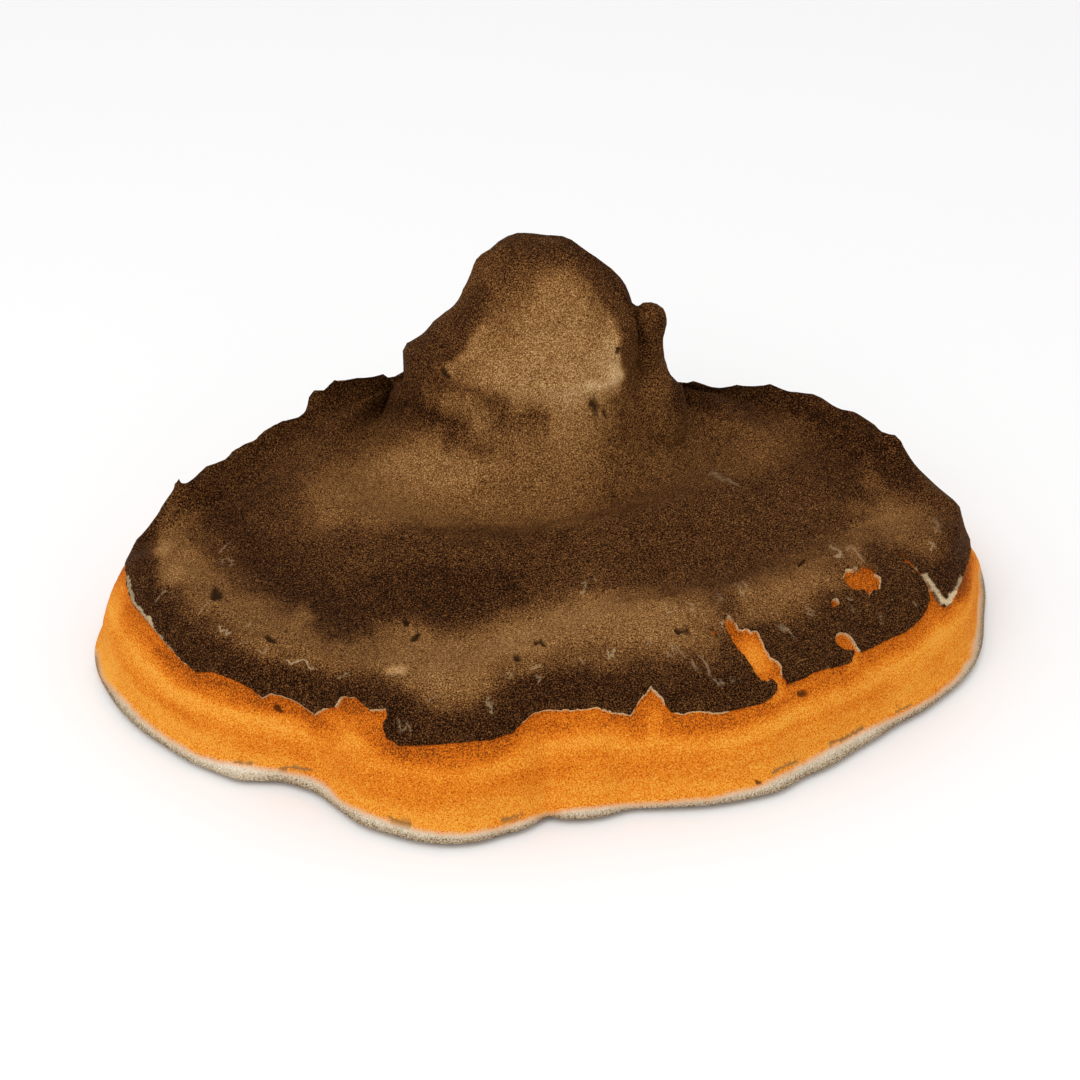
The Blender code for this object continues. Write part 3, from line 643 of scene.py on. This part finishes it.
def placeDisc(bm):
    disc = np.array([v.co[:2] for v in bm.verts])
    rows = np.concatenate(((0,), np.cumsum(conk["rows"])))
    inward = (1 - np.hypot(disc[:, 0], disc[:, 1])) * rows[-1]
    knots = np.array(conk["stations"], float)
    station = np.interp(inward, rows, knots)
    angle = spokeAngles(np.arctan2(disc[:, 1], disc[:, 0]) / (2 * math.pi) + 0.5)
    reaches, heights = stationRings(angle)
    reach = curveThrough(knots, reaches, station)
    height = np.where(station <= 0, 0, curveThrough(knots, heights, station))
    axisX, axisY = conk["knobAxis"]
    points = np.stack((axisX + reach * np.cos(angle), axisY + reach * np.sin(angle), height), axis=1)
    return points, station, angle


def nearestOn(points, line, closed=False):
    corners = np.asarray(line, float)
    ends = np.roll(corners, -1, axis=0) if closed else corners[1:]
    shortest = np.full(len(points), np.inf)
    nearest = np.array(points)
    for start, end in zip(corners, ends):
        edge = end - start
        share = np.clip((points - start) @ edge / max(edge @ edge, 1e-9), 0, 1)
        foot = start + share[:, None] * edge
        distance = np.hypot(*(points - foot).T)
        closer = distance < shortest
        shortest[closer] = distance[closer]
        nearest[closer] = foot[closer]
    return shortest, nearest


def distanceTo(points, line, closed=False):
    return nearestOn(points, line, closed)[0]


def isInside(points, outline):
    corners = np.asarray(outline, float)
    inside = np.zeros(len(points), bool)
    for (x0, y0), (x1, y1) in zip(corners, np.roll(corners, -1, axis=0)):
        if y1 == y0:
            continue
        crosses = (y0 > points[:, 1]) != (y1 > points[:, 1])
        crossing = x0 + (points[:, 1] - y0) * (x1 - x0) / (y1 - y0)
        inside ^= crosses & (points[:, 0] < crossing)
    return inside


def frontShare(angle, limits):
    middle = sum(limits) / 2
    half = (limits[1] - limits[0]) / 2
    return smoothstep(half + math.radians(5), half, np.abs(angle - middle))


def outsideOutline(pixels):
    return ~isInside(pixels, outlineSeen + ((1300, 1300), (-200, 1300)))


def trimToOutline(points, station):
    pixels = seenAt(points)
    outside = np.flatnonzero(outsideOutline(pixels))
    outside = outside[station[outside] > lowFlankAt]
    rough = conk["outlineRoughness"] * noiseAt(points[outside], 0.0014, 40)[:, None]
    _, nearest = nearestOn(pixels[outside], outlineSeen)
    share = smoothstep(lowFlankAt, midFlankAt, station[outside])[:, None]
    move = (nearest + rough - pixels[outside]) * share
    away = ((points[outside] - eye) @ forward)[:, None] / lensPixels
    points[outside] += (move[:, :1] * np.array((1, 0, 0)) - move[:, 1:] * upward) * away
    return points


def carveCorners(bm):
    layer = bm.verts.layers.float["station"]
    for _ in range(conk["cornerCuts"]):
        bm.verts.index_update()
        pixels = seenAt(np.array([v.co for v in bm.verts]) + sight["middle"])
        away = np.min([np.hypot(*(pixels - corner).T) for corner in outlineCorners], axis=0)
        near = away < conk["cornerPixels"]
        edges = [e for e in bm.edges if near[e.verts[0].index] and near[e.verts[1].index]]
        middles = np.array([(e.verts[0].co + e.verts[1].co) / 2 for e in edges]) + sight["middle"]
        seen = seenAt(middles)
        bridging = outsideOutline(seen) & (distanceTo(seen, outlineSeen) > 0.8)
        made = bmesh.ops.subdivide_edges(bm, edges=[e for e, b in zip(edges, bridging) if b], cuts=1)
        verts = [item for item in made["geom_inner"] if isinstance(item, bmesh.types.BMVert)]
        if not verts:
            break
        around = dict.fromkeys(f for v in verts for f in v.link_faces if len(f.verts) > 3)
        bmesh.ops.triangulate(bm, faces=list(around), quad_method="FIXED", ngon_method="EAR_CLIP")
        points = np.array([v.co for v in verts]) + sight["middle"]
        points = trimToOutline(points, np.array([v[layer] for v in verts])) - sight["middle"]
        for vert, point in zip(verts, points):
            vert.co = point
    # Two faces on the same corners are a flap with nothing in it
    shared = {}
    for face in bm.faces:
        shared.setdefault(frozenset(face.verts), []).append(face)
    flaps = [face for same in shared.values() if len(same) > 1 for face in same]
    bmesh.ops.delete(bm, geom=flaps, context="FACES")


def crustDepth(points, station, angle):
    side = sight["pictureSide"]
    above = ((side, 300), (side, -500), (0, -500), (0, 300))
    pixels = seenAt(points)
    edge = distanceTo(pixels, crustEdgeSeen)
    inside = isInside(pixels, crustEdgeSeen + above)
    seen = np.where(inside, edge, -edge) * metresPerPixel
    window = distanceTo(pixels, windowSeen, closed=True) * metresPerPixel
    seen = np.minimum(seen, np.where(isInside(pixels, windowSeen), -window, window))
    for x, y, radius in specks:
        seen = np.minimum(seen, (np.hypot(*(pixels - (x, y)).T) - radius) * metresPerPixel)
    near = np.abs(seen) < 0.004
    seen[near] += 0.00028 * noiseAt(points[near], 0.0014, 1)
    ragged = 1.5 * np.sin(9 * angle) + 1.1 * np.sin(23 * angle + 1) + 0.7 * np.sin(51 * angle + 2)
    behind = (station - crustEdgeAt + 2 - ragged) / 1000
    front = frontShare(angle, frontAngles)
    depth = front * seen + (1 - front) * behind
    return np.where(station > crestAt, np.where(front > 0.5, seen, 0.02), depth)


def lipDepth(points, station, angle):
    side = sight["pictureSide"]
    below = ((side, 500), (side, 1300), (-200, 1300), (-200, 640))
    pixels = seenAt(points)
    edge = distanceTo(pixels, lipEdgeSeen)
    seen = np.where(isInside(pixels, lipEdgeSeen + below), edge, -edge) * metresPerPixel
    wave = 0.6 * np.sin(11 * angle) + 0.5 * np.sin(31 * angle + 1)
    seen = np.minimum(seen, (conk["highestLip"] + wave - station) / 1000)
    behind = (conk["hiddenLip"] + wave - station) / 1000
    front = frontShare(angle, lipAngles)
    return np.where(station > crustEdgeAt, -0.02, front * seen + (1 - front) * behind)


def lipTone(pixels, lip, station, shown):
    outer = distanceTo(pixels, lipSeen) * metresPerPixel
    hidden = np.maximum(station - 2.6, 0) / 1000
    outer = outer * shown + hidden * (1 - shown)
    width = np.maximum(lip, 0)
    tone = np.interp(width / (width + outer + 1e-6), *np.array(lipToneAndShadeAcross).T)
    for patch in lipPatches:
        tone += patch[5] * patchMask(pixels, patch) * shown
    return tone


# Shares of its reach where a patch or run starts and where it is whole
fade = (1.25, 0.35)


def patchMask(pixels, patch):
    x, y, across, down, tilt = patch[:5]
    turn = math.radians(tilt)
    offset = pixels - (x, y)
    along = (offset[:, 0] * math.cos(turn) + offset[:, 1] * math.sin(turn)) / across
    over = (-offset[:, 0] * math.sin(turn) + offset[:, 1] * math.cos(turn)) / down
    return smoothstep(*fade, np.hypot(along, over))


# Lays the crust's tone together with its painted shade and painted highlights
def paintToneAndShade(pixels, shown):
    tone = np.full(len(pixels), baseTone)
    for patch in crustToneAndShadePatches:
        tone += (patch[5] - tone) * patch[6] * patchMask(pixels, patch) * shown
    for line, reach, value, strength in crustToneAndShadeRuns:
        share = strength * shown * smoothstep(*fade, distanceTo(pixels, line) / reach)
        tone += (value - tone) * share
    for patch in crustToneSpotsAndHighlights:
        tone += (patch[5] - tone) * patch[6] * patchMask(pixels, patch) * shown
    return tone


def nearLine(pixels, line, reach):
    corners = np.array(line, float)
    beside = (pixels > corners.min(axis=0) - reach) & (pixels < corners.max(axis=0) + reach)
    near = np.flatnonzero(beside.all(axis=1))
    return near, distanceTo(pixels[near], line)


def lineMask(pixels, line, reach):
    near, distance = nearLine(pixels, line, 1.3 * reach)
    mask = np.zeros(len(pixels))
    mask[near] = smoothstep(1.3, 0.5, distance / reach)
    return mask


def fineMarks(pixels):
    nearest = np.full(len(pixels), 20.0)
    lines = [(line, 0) for _, _, line in scratches] + [(line, 0) for line in lipCracks]
    lines += [(line, reach) for reach, line in pits]
    lines += [(line, reach) for _, reach, line in paleRuns]
    for line, reach in lines:
        near, distance = nearLine(pixels, line, reach + 20)
        nearest[near] = np.minimum(nearest[near], np.abs(distance - reach))
    return nearest * metresPerPixel


def noiseAt(points, size, seed=0):
    return np.array([noise.noise(Vector(p) / size + Vector((seed, 0, 0))) for p in points])


def lumps(points, kind, seed=0):
    size, height = conk[kind]
    return height * noiseAt(points, size, seed)


def spunDisc():
    bm = bmesh.new()
    rings = sum(conk["rows"])
    spoke = [bm.verts.new((i / rings, 0, 0)) for i in range(rings + 1)]
    edges = [bm.edges.new(pair) for pair in zip(spoke, spoke[1:])]
    bmesh.ops.spin(
        bm, geom=spoke + edges, cent=(0, 0, 0), axis=(0, 0, 1), dvec=(0, 0, 0),
        angle=2 * math.pi, steps=conk["spokes"], use_merge=True, use_normal_flip=False,
        use_duplicate=False,
    )
    bmesh.ops.remove_doubles(bm, verts=bm.verts, dist=1e-6)
    return bm


def markDistance(bm):
    points, station, angle = placeDisc(bm)
    facing = frontShare(angle, frontAngles) + (station > crestAt)
    fine = np.where(facing > 0.3, fineMarks(seenAt(points)), 1)
    crag = np.where(facing < 0.3, np.abs(station - crestAt) / 6500, 1)
    crag = np.where(np.abs(points[:, 0]) > 0.042, np.maximum(crag, 0.0006), 1)
    pixels = seenAt(points)
    for corner in outlineCorners:
        away = (np.hypot(*(pixels - corner).T) - 7) * metresPerPixel
        crag = np.minimum(crag, np.where(station > crustEdgeAt, np.maximum(away, 0), 1))
    return np.minimum(np.minimum(np.abs(crustDepth(points, station, angle)), fine), crag)


def addStub(bm):
    made = bmesh.new()
    profile = [made.verts.new((radius, 0, height)) for height, radius in stub["profile"]]
    edges = [made.edges.new(pair) for pair in zip(profile, profile[1:])]
    bmesh.ops.subdivide_edges(made, edges=edges, cuts=2, smooth=1.0)
    bmesh.ops.spin(
        made, geom=made.verts[:] + made.edges[:], cent=(0, 0, 0), axis=(0, 0, 1), dvec=(0, 0, 0),
        angle=2 * math.pi, steps=stub["sides"], use_merge=True, use_normal_flip=False,
        use_duplicate=False,
    )
    bmesh.ops.remove_doubles(made, verts=made.verts, dist=1e-6)
    bmesh.ops.holes_fill(made, edges=[e for e in made.edges if e.is_boundary])
    bmesh.ops.recalc_face_normals(made, faces=made.faces)
    bmesh.ops.translate(made, verts=made.verts, vec=(*stub["axis"], 0))
    mesh = bpy.data.meshes.new("stubShape")
    made.to_mesh(mesh)
    made.free()
    before = len(bm.verts)
    bm.from_mesh(mesh)
    bpy.data.meshes.remove(mesh)
    return before


# What the skin's material reads at each point: ways into each region in mm, tones with their painted
# shade and highlights, and marks
def paintMarks(points, pixels, station, shown, depth, lip):
    warp = np.stack((noiseAt(points, 0.012, 3), noiseAt(points, 0.012, 9)), axis=1) * 9
    warp += np.stack((noiseAt(points, 0.004, 5), noiseAt(points, 0.004, 7)), axis=1) * 4
    tone = paintToneAndShade(pixels + warp, shown) + 0.05 * noiseAt(points, 0.006, 2)
    # Out of sight the crust is mottled by its own lumps, with a pit here and there, darkened as painted
    # shade
    tone += (1 - shown) * (0.38 * noiseAt(points, 0.018, 21) + 0.22 * noiseAt(points, 0.006, 22))
    hiddenPit = smoothstep(0.50, 0.62, noiseAt(points, 0.0075, 27)) * (1 - shown)
    fineWarp = np.stack((noiseAt(points, 0.0012, 6), noiseAt(points, 0.0012, 8)), axis=1) * 1.6
    scratch = np.zeros(len(points))
    for strength, reach, line in scratches:
        scratch = np.maximum(scratch, strength * lineMask(pixels + fineWarp * 0.7, line, reach))
    scratch *= shown
    crack = np.zeros(len(points))
    for line in lipCracks:
        crack = np.maximum(crack, lineMask(pixels + fineWarp, line, crackReach))
    crack *= shown
    pit = np.zeros(len(points))
    for reach, line in pits:
        pit = np.maximum(pit, lineMask(pixels + fineWarp, line, reach))
    pit = np.maximum(pit * shown, hiddenPit * (depth > 0.0015))
    rim = lipTone(pixels, lip, station, shown)
    below = np.maximum(-depth, 0)
    share = below / (below + np.maximum(-lip, 0) + 1e-6)
    flesh = np.interp(share, *np.array(fleshAcross).T)
    for patch in fleshToneAndShadePatches:
        flesh += patch[5] * patchMask(pixels, patch) * shown
    for line, reach, change in fleshBandsAndShadow:
        flesh += change * lineMask(pixels + warp * 0.4, line, reach * 1.25) * shown
    tornWidth = np.full(len(points), 0.001)
    pale = np.zeros(len(points))
    for patch in paleTorn:
        share = smoothstep(1.15, 0.75, 1.25 - 0.9 * patchMask(pixels, patch))
        tornWidth = np.maximum(tornWidth, patch[5] * share * shown)
    for strength, reach, line in paleRuns:
        run = strength * lineMask(pixels + fineWarp, line, reach) * (depth > -0.0012)
        pale = np.maximum(pale, run)
    pale *= shown
    return pit, {
        "edge": depth * 1000, "lip": lip * 1000, "station": station, "tone": tone,
        "scratch": scratch, "crack": crack, "pit": pit, "pale": pale, "tornWidth": tornWidth,
        "flesh": flesh, "lipTone": rim,
    }


def buildConk():
    bm = spunDisc()
    for reach in conk["fineReaches"]:
        near = markDistance(bm) < reach
        bm.verts.index_update()
        edges = [e for e in bm.edges if near[e.verts[0].index] and near[e.verts[1].index]]
        bmesh.ops.subdivide_edges(bm, edges=edges, cuts=1, use_grid_fill=True)
    print("skin refined to", len(bm.verts), "points")
    bmesh.ops.triangulate(bm, faces=[f for f in bm.faces if len(f.verts) > 4])
    points, station, angle = placeDisc(bm)
    for vert, point in zip(bm.verts, points):
        vert.co = point
    rim = [e for e in bm.edges if e.is_boundary]
    foot = bmesh.ops.contextual_create(bm, geom=rim)["faces"][0]
    bmesh.ops.recalc_face_normals(bm, faces=bm.faces)
    bodyCount = addStub(bm)
    bm.normal_update()
    points = np.array([v.co for v in bm.verts])
    normals = np.array([v.normal for v in bm.verts])
    stubCount = len(points) - bodyCount
    isStub = np.arange(len(points)) >= bodyCount
    station = np.concatenate((station, np.full(stubCount, float(knobFootAt))))
    angle = np.concatenate((angle, np.zeros(stubCount)))
    pixels = seenAt(points)
    toEye = eye - points
    toEye /= np.linalg.norm(toEye, axis=1)[:, None]
    shown = smoothstep(-0.05, 0.2, (normals * toEye).sum(axis=1))
    depth = np.where(isStub, 0.02, crustDepth(points, station, angle))
    lip = np.where(isStub, -0.02, lipDepth(points, station, angle))
    pit, marks = paintMarks(points, pixels, station, shown, depth, lip)
    print("skin painted")
    bare = smoothstep(0.0003, -0.0003, depth) * smoothstep(lipTopAt, midFlankAt, station)
    crusted = smoothstep(crustEdgeAt, crestAt, station)
    swell = np.where(station > bowlAt, 0.3, 1) * lumps(points, "swell")
    lift = crusted * (swell + lumps(points, "ripple", 4))
    lift -= bare * conk["crustThickness"]
    rise = smoothstep(0.0018, 0.0004, depth) * smoothstep(-0.0002, 0.0003, depth)
    lift += conk["rimRise"] * rise - conk["pitDepth"] * pit
    knobby = smoothstep(knobFootAt + 2, knobFootAt + 20, station)
    craggy = smoothstep(14, 4, np.abs(station - crestAt)) * (1 - frontShare(angle, frontAngles))
    rough = np.maximum(craggy, knobby)
    lift += rough * (lumps(points, "crag", 12) + lumps(points, "fineCrag", 14))
    lift += knobby * conk["spareSize"]
    for line, deep, reach in creases:
        lift -= deep * np.exp(-((distanceTo(pixels, line) / reach) ** 2)) * shown
    stubLift = stub["roughness"] * noiseAt(points, 0.004)
    points = points + normals * np.where(isStub, stubLift, lift)[:, None]
    points = trimToOutline(points, station)
    points[:, 2] = np.where(station <= 0, 0, points[:, 2])
    for vert, point in zip(bm.verts, points - sight["middle"]):
        vert.co = point
    for name, values in marks.items():
        layer = bm.verts.layers.float.new(name)
        for vert, value in zip(bm.verts, values):
            vert[layer] = value
    carveCorners(bm)
    foot.material_index = 1
    mesh = bpy.data.meshes.new("conkSkin")
    bm.to_mesh(mesh)
    bm.free()
    mesh.shade_smooth()
    mesh.set_sharp_from_angle(angle=math.radians(60))
    piece = bpy.data.objects.new("conkSkin", mesh)
    bpy.context.scene.collection.objects.link(piece)
    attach(piece, "root")
    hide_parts("conk")
    mesh.calc_loop_triangles()
    print("conk skin made,", len(mesh.loop_triangles), "triangles")
    return piece


def linear(hexColour):
    channels = [int(hexColour[i:i + 2], 16) / 255 for i in (1, 3, 5)]
    return tuple(c / 12.92 if c <= 0.04045 else ((c + 0.055) / 1.055) ** 2.4 for c in channels) + (1,)


def addNode(tree, kind, inputs=None, out=0, stops=(), **settings):
    node = tree.nodes.new("ShaderNode" + kind)
    for name, value in settings.items():
        setattr(node, name, value)
    for key, value in (inputs or {}).items():
        if isinstance(value, bpy.types.NodeSocket):
            tree.links.new(value, node.inputs[key])
        else:
            node.inputs[key].default_value = value
    for i, (position, colour) in enumerate(stops):
        steps = node.color_ramp.elements
        step = steps[i] if i < len(steps) else steps.new(position)
        step.position = position
        step.color = linear(colour)
    return node.outputs[out] if node.outputs else node


# Wild bracket fungus: a dull resinous crust, corky orange flesh where that is torn, a pale growing
# lip. All of it is matt and finely grained, so the eye gets colour and hardly any gloss.
fungusSkin = {
    # The lightest stops are reached mostly by the painted highlight on the knob
    "crustTones": (
        (0.0, "#160802"), (0.13, "#341b0b"), (0.305, "#5c3a1d"), (0.51, "#865c31"),
        (0.61, "#9a6f3f"), (0.87, "#c69d6c"), (1.0, "#dcba8a"),
    ),
    "toneScale": 1.6,
    # The pit colour is painted shade inside the pits
    "crustMarks": (("pit", 0.95, "#1c0d05"), ("pale", 1.0, "#d8be95")),
    "scratchColour": "#c4a880",
    "scratchShare": 0.52,
    "fleshTones": (
        (0.0, "#743a10"), (0.18, "#b45810"), (0.34, "#c76212"), (0.52, "#d67419"), (0.70, "#e08222"),
        (0.86, "#e6902b"), (1.0, "#eda540"),
    ),
    # The flesh's pit colour is painted shade inside the pits too
    "fleshMarks": (("pit", 0.9, "#30190b"), ("pale", 0.8, "#d6a566")),
    "lipTones": (
        (0.0, "#ebe1cf"), (0.3, "#d8c8ae"), (0.6, "#bead92"), (0.85, "#9b866c"), (1.0, "#715b43"),
    ),
    "lipCrack": "#80603a",
    "grainMm": 0.38,
    "mottleMm": 3.2,
    "streakMm": 2.4,
    "crustGrain": 1.95,
    "fleshGrain": 1.8,
    "lipGrain": 1.4,
    "roughness": 0.85,
    "specular": 0.03,
    "bumpMm": 0.35,
}


def makeSkinMaterial():
    look = fungusSkin
    material = bpy.data.materials.new("bracketFungusSkin")
    material.use_nodes = True
    tree = material.node_tree
    tree.nodes.clear()
    names = (
        "edge", "lip", "station", "tone", "flesh", "scratch", "crack", "pit", "pale", "tornWidth",
        "lipTone",
    )
    painted = {name: addNode(tree, "Attribute", out="Fac", attribute_name=name) for name in names}
    # The pale inside of the torn edge is a line as wide as tornWidth, in mm, on the crust's side of it
    share = addNode(tree, "Math", {0: painted["edge"], 1: painted["tornWidth"]}, operation="DIVIDE")
    line = addNode(tree, "MapRange", {0: share, 1: 1.0, 2: 0.35}, interpolation_type="SMOOTHSTEP")
    start = addNode(
        tree, "MapRange", {0: painted["edge"], 1: -0.25, 2: -0.05}, interpolation_type="SMOOTHSTEP"
    )
    line = addNode(tree, "Math", {0: line, 1: start}, operation="MULTIPLY")
    shows = addNode(
        tree, "MapRange", {0: painted["tornWidth"], 1: 0.03, 2: 0.09}, interpolation_type="SMOOTHSTEP"
    )
    line = addNode(tree, "Math", {0: line, 1: shows}, operation="MULTIPLY")
    painted["pale"] = addNode(tree, "Math", {0: painted["pale"], 1: line}, operation="MAXIMUM")
    place = addNode(tree, "TexCoord", out="Object")

    # The real grain is about 0.2 mm, too fine to show here, so it is drawn about twice as coarse
    grain = addNode(tree, "TexNoise", {"Vector": place, "Scale": 1000 / look["grainMm"], "Detail": 0.5})
    grain = addNode(tree, "Math", {0: grain, 1: 0.5}, operation="SUBTRACT")
    mottle = addNode(tree, "TexNoise", {"Vector": place, "Scale": 1000 / look["mottleMm"], "Detail": 2.0})
    mottle = addNode(tree, "Math", {0: mottle, 1: 0.5}, operation="SUBTRACT")

    # The painted tone carries painted shade and painted highlights along with the crust's own tone
    tone = addNode(tree, "Math", {0: mottle, 1: 0.22, 2: painted["tone"]}, operation="MULTIPLY_ADD")
    tone = addNode(tree, "Math", {0: grain, 1: look["crustGrain"], 2: tone}, operation="MULTIPLY_ADD")
    tone = addNode(tree, "Math", {0: tone, 1: look["toneScale"]}, operation="DIVIDE")
    crust = addNode(tree, "ValToRGB", {0: tone}, stops=look["crustTones"])
    broken = addNode(tree, "Math", {0: grain, 1: 3.0, 2: 1.0}, operation="MULTIPLY_ADD")
    broken = addNode(
        tree, "Math", {0: mottle, 1: 1.5, 2: broken}, operation="MULTIPLY_ADD", use_clamp=True
    )
    share = addNode(tree, "Math", {0: painted["scratch"], 1: look["scratchShare"]}, operation="MULTIPLY")
    share = addNode(tree, "Math", {0: share, 1: broken}, operation="MULTIPLY")
    crust = addNode(
        tree, "Mix", {0: share, 6: crust, 7: linear(look["scratchColour"])}, out=2, data_type="RGBA"
    )
    speckled = addNode(
        tree, "Math", {0: grain, 1: 2.2, 2: 0.92}, operation="MULTIPLY_ADD", use_clamp=True
    )
    for name, strength, colour in look["crustMarks"]:
        share = addNode(tree, "Math", {0: painted[name], 1: strength}, operation="MULTIPLY")
        share = addNode(tree, "Math", {0: share, 1: speckled}, operation="MULTIPLY")
        crust = addNode(tree, "Mix", {0: share, 6: crust, 7: linear(colour)}, out=2, data_type="RGBA")

    # Growth lines: noise drawn out along the flank, which follows the rings in the mesh
    streakScale = 1000 / look["streakMm"]
    along = addNode(tree, "VectorMath", {0: place, 1: (0.12, 0.12, 0)}, operation="MULTIPLY")
    ring = addNode(tree, "Math", {0: painted["station"], 1: 0.001}, operation="MULTIPLY")
    ring = addNode(tree, "CombineXYZ", {"Z": ring})
    along = addNode(tree, "VectorMath", {0: along, 1: ring}, operation="ADD")
    streak = addNode(tree, "TexNoise", {"Vector": along, "Scale": streakScale, "Detail": 2.0})
    streak = addNode(tree, "Math", {0: streak, 1: 0.5}, operation="SUBTRACT")
    flesh = addNode(tree, "Math", {0: streak, 1: 0.35, 2: painted["flesh"]}, operation="MULTIPLY_ADD")
    flesh = addNode(tree, "Math", {0: mottle, 1: 0.22, 2: flesh}, operation="MULTIPLY_ADD")
    flesh = addNode(tree, "Math", {0: grain, 1: look["fleshGrain"], 2: flesh}, operation="MULTIPLY_ADD")
    flesh = addNode(tree, "ValToRGB", {0: flesh}, stops=look["fleshTones"])
    for name, strength, colour in look["fleshMarks"]:
        share = addNode(tree, "Math", {0: painted[name], 1: strength}, operation="MULTIPLY")
        share = addNode(tree, "Math", {0: share, 1: speckled}, operation="MULTIPLY")
        flesh = addNode(tree, "Mix", {0: share, 6: flesh, 7: linear(colour)}, out=2, data_type="RGBA")

    # The lip is palest beside the flesh and darkens towards the ground, partly painted shade where it
    # curls under and partly dirt
    lip = addNode(
        tree, "Math", {0: grain, 1: look["lipGrain"], 2: painted["lipTone"]}, operation="MULTIPLY_ADD"
    )
    lip = addNode(tree, "ValToRGB", {0: lip}, stops=look["lipTones"])

    border = addNode(tree, "Math", {0: grain, 1: 1.4, 2: painted["lip"]}, operation="MULTIPLY_ADD")
    border = addNode(tree, "Math", {0: mottle, 1: 0.9, 2: border}, operation="MULTIPLY_ADD")
    border = addNode(tree, "MapRange", {0: border, 1: -0.7, 2: 1.8}, interpolation_type="SMOOTHSTEP")
    flank = addNode(tree, "Mix", {0: border, 6: flesh, 7: lip}, out=2, data_type="RGBA")
    share = addNode(tree, "Math", {0: painted["crack"], 1: 0.8}, operation="MULTIPLY")
    flank = addNode(
        tree, "Mix", {0: share, 6: flank, 7: linear(look["lipCrack"])}, out=2, data_type="RGBA"
    )

    torn = addNode(tree, "Math", {0: grain, 1: 0.35, 2: painted["edge"]}, operation="MULTIPLY_ADD")
    torn = addNode(tree, "MapRange", {0: torn, 1: -0.12, 2: 0.12}, interpolation_type="SMOOTHSTEP")
    colour = addNode(tree, "Mix", {0: torn, 6: flank, 7: crust}, out=2, data_type="RGBA")
    height = addNode(tree, "Math", {0: grain, 1: 0.4, 2: mottle}, operation="MULTIPLY_ADD")
    bump = addNode(
        tree, "Bump", {"Height": height, "Strength": 1.0, "Distance": look["bumpMm"] / 1000}
    )
    shader = addNode(
        tree, "BsdfPrincipled",
        {
            "Base Color": colour, "Normal": bump, "Roughness": look["roughness"],
            "Specular IOR Level": look["specular"],
        },
    )
    addNode(tree, "OutputMaterial", {"Surface": shader})
    return material


# Cut fungus flesh: corky and fibrous, matt, golden brown with darker fibres
cutFlesh = {"fibreMm": 7.0, "tones": ((0.3, "#7a4a1e"), (0.7, "#c68a45")), "roughness": 0.9}


def makeCutMaterial():
    material = bpy.data.materials.new("cutFungusFlesh")
    material.use_nodes = True
    tree = material.node_tree
    tree.nodes.clear()
    place = addNode(tree, "TexCoord", out="Object")
    fibre = addNode(
        tree, "TexNoise", {"Vector": place, "Scale": 1000 / cutFlesh["fibreMm"], "Detail": 6.0}
    )
    colour = addNode(tree, "ValToRGB", {0: fibre}, stops=cutFlesh["tones"])
    shader = addNode(
        tree, "BsdfPrincipled", {"Base Color": colour, "Roughness": cutFlesh["roughness"]}
    )
    addNode(tree, "OutputMaterial", {"Surface": shader})
    return material


skin = buildConk()
skin.data.materials.append(makeSkinMaterial())
skin.data.materials.append(makeCutMaterial())
print("materials made")

# The studio: sizes and places in metres
studio = {
    "floorReach": 4,
    "skyStrength": 0.86,
    "lampPower": 3.5,
    "lampSize": 0.8,
    "lampPlace": (-0.3, -0.6, 0.9),
}
white = (1, 1, 1, 1)
floorMesh = bpy.data.meshes.new("floor")
bm = bmesh.new()
bmesh.ops.create_grid(bm, x_segments=1, y_segments=1, size=studio["floorReach"])
bm.to_mesh(floorMesh)
bm.free()
floor = bpy.data.objects.new("floor", floorMesh)
bpy.context.scene.collection.objects.link(floor)
floorMaterial = bpy.data.materials.new("white paper")
floorMaterial.use_nodes = True
floorMaterial.node_tree.nodes["Principled BSDF"].inputs["Base Color"].default_value = white
floorMesh.materials.append(floorMaterial)

world = bpy.data.worlds.new("studio")
bpy.context.scene.world = world
world.use_nodes = True
world.node_tree.nodes["Background"].inputs["Color"].default_value = white
world.node_tree.nodes["Background"].inputs["Strength"].default_value = studio["skyStrength"]

lampData = bpy.data.lights.new("key", "AREA")
lampData.energy = studio["lampPower"]
lampData.size = studio["lampSize"]
lamp = bpy.data.objects.new("key", lampData)
lamp.location = studio["lampPlace"]
lamp.rotation_euler = (Vector((0, 0, 0)) - lamp.location).to_track_quat("-Z", "Y").to_euler()
bpy.context.scene.collection.objects.link(lamp)

cameraData = bpy.data.cameras.new("camera")
cameraData.lens = sight["lensMm"]
cameraData.sensor_width = sight["sensorMm"]
camera = bpy.data.objects.new("camera", cameraData)
camera.location = eye - sight["middle"]
camera.rotation_euler = (math.pi / 2 - sight["elevation"], 0, 0)
bpy.context.scene.collection.objects.link(camera)
bpy.context.scene.camera = camera
bpy.context.scene.view_settings.view_transform = "Standard"
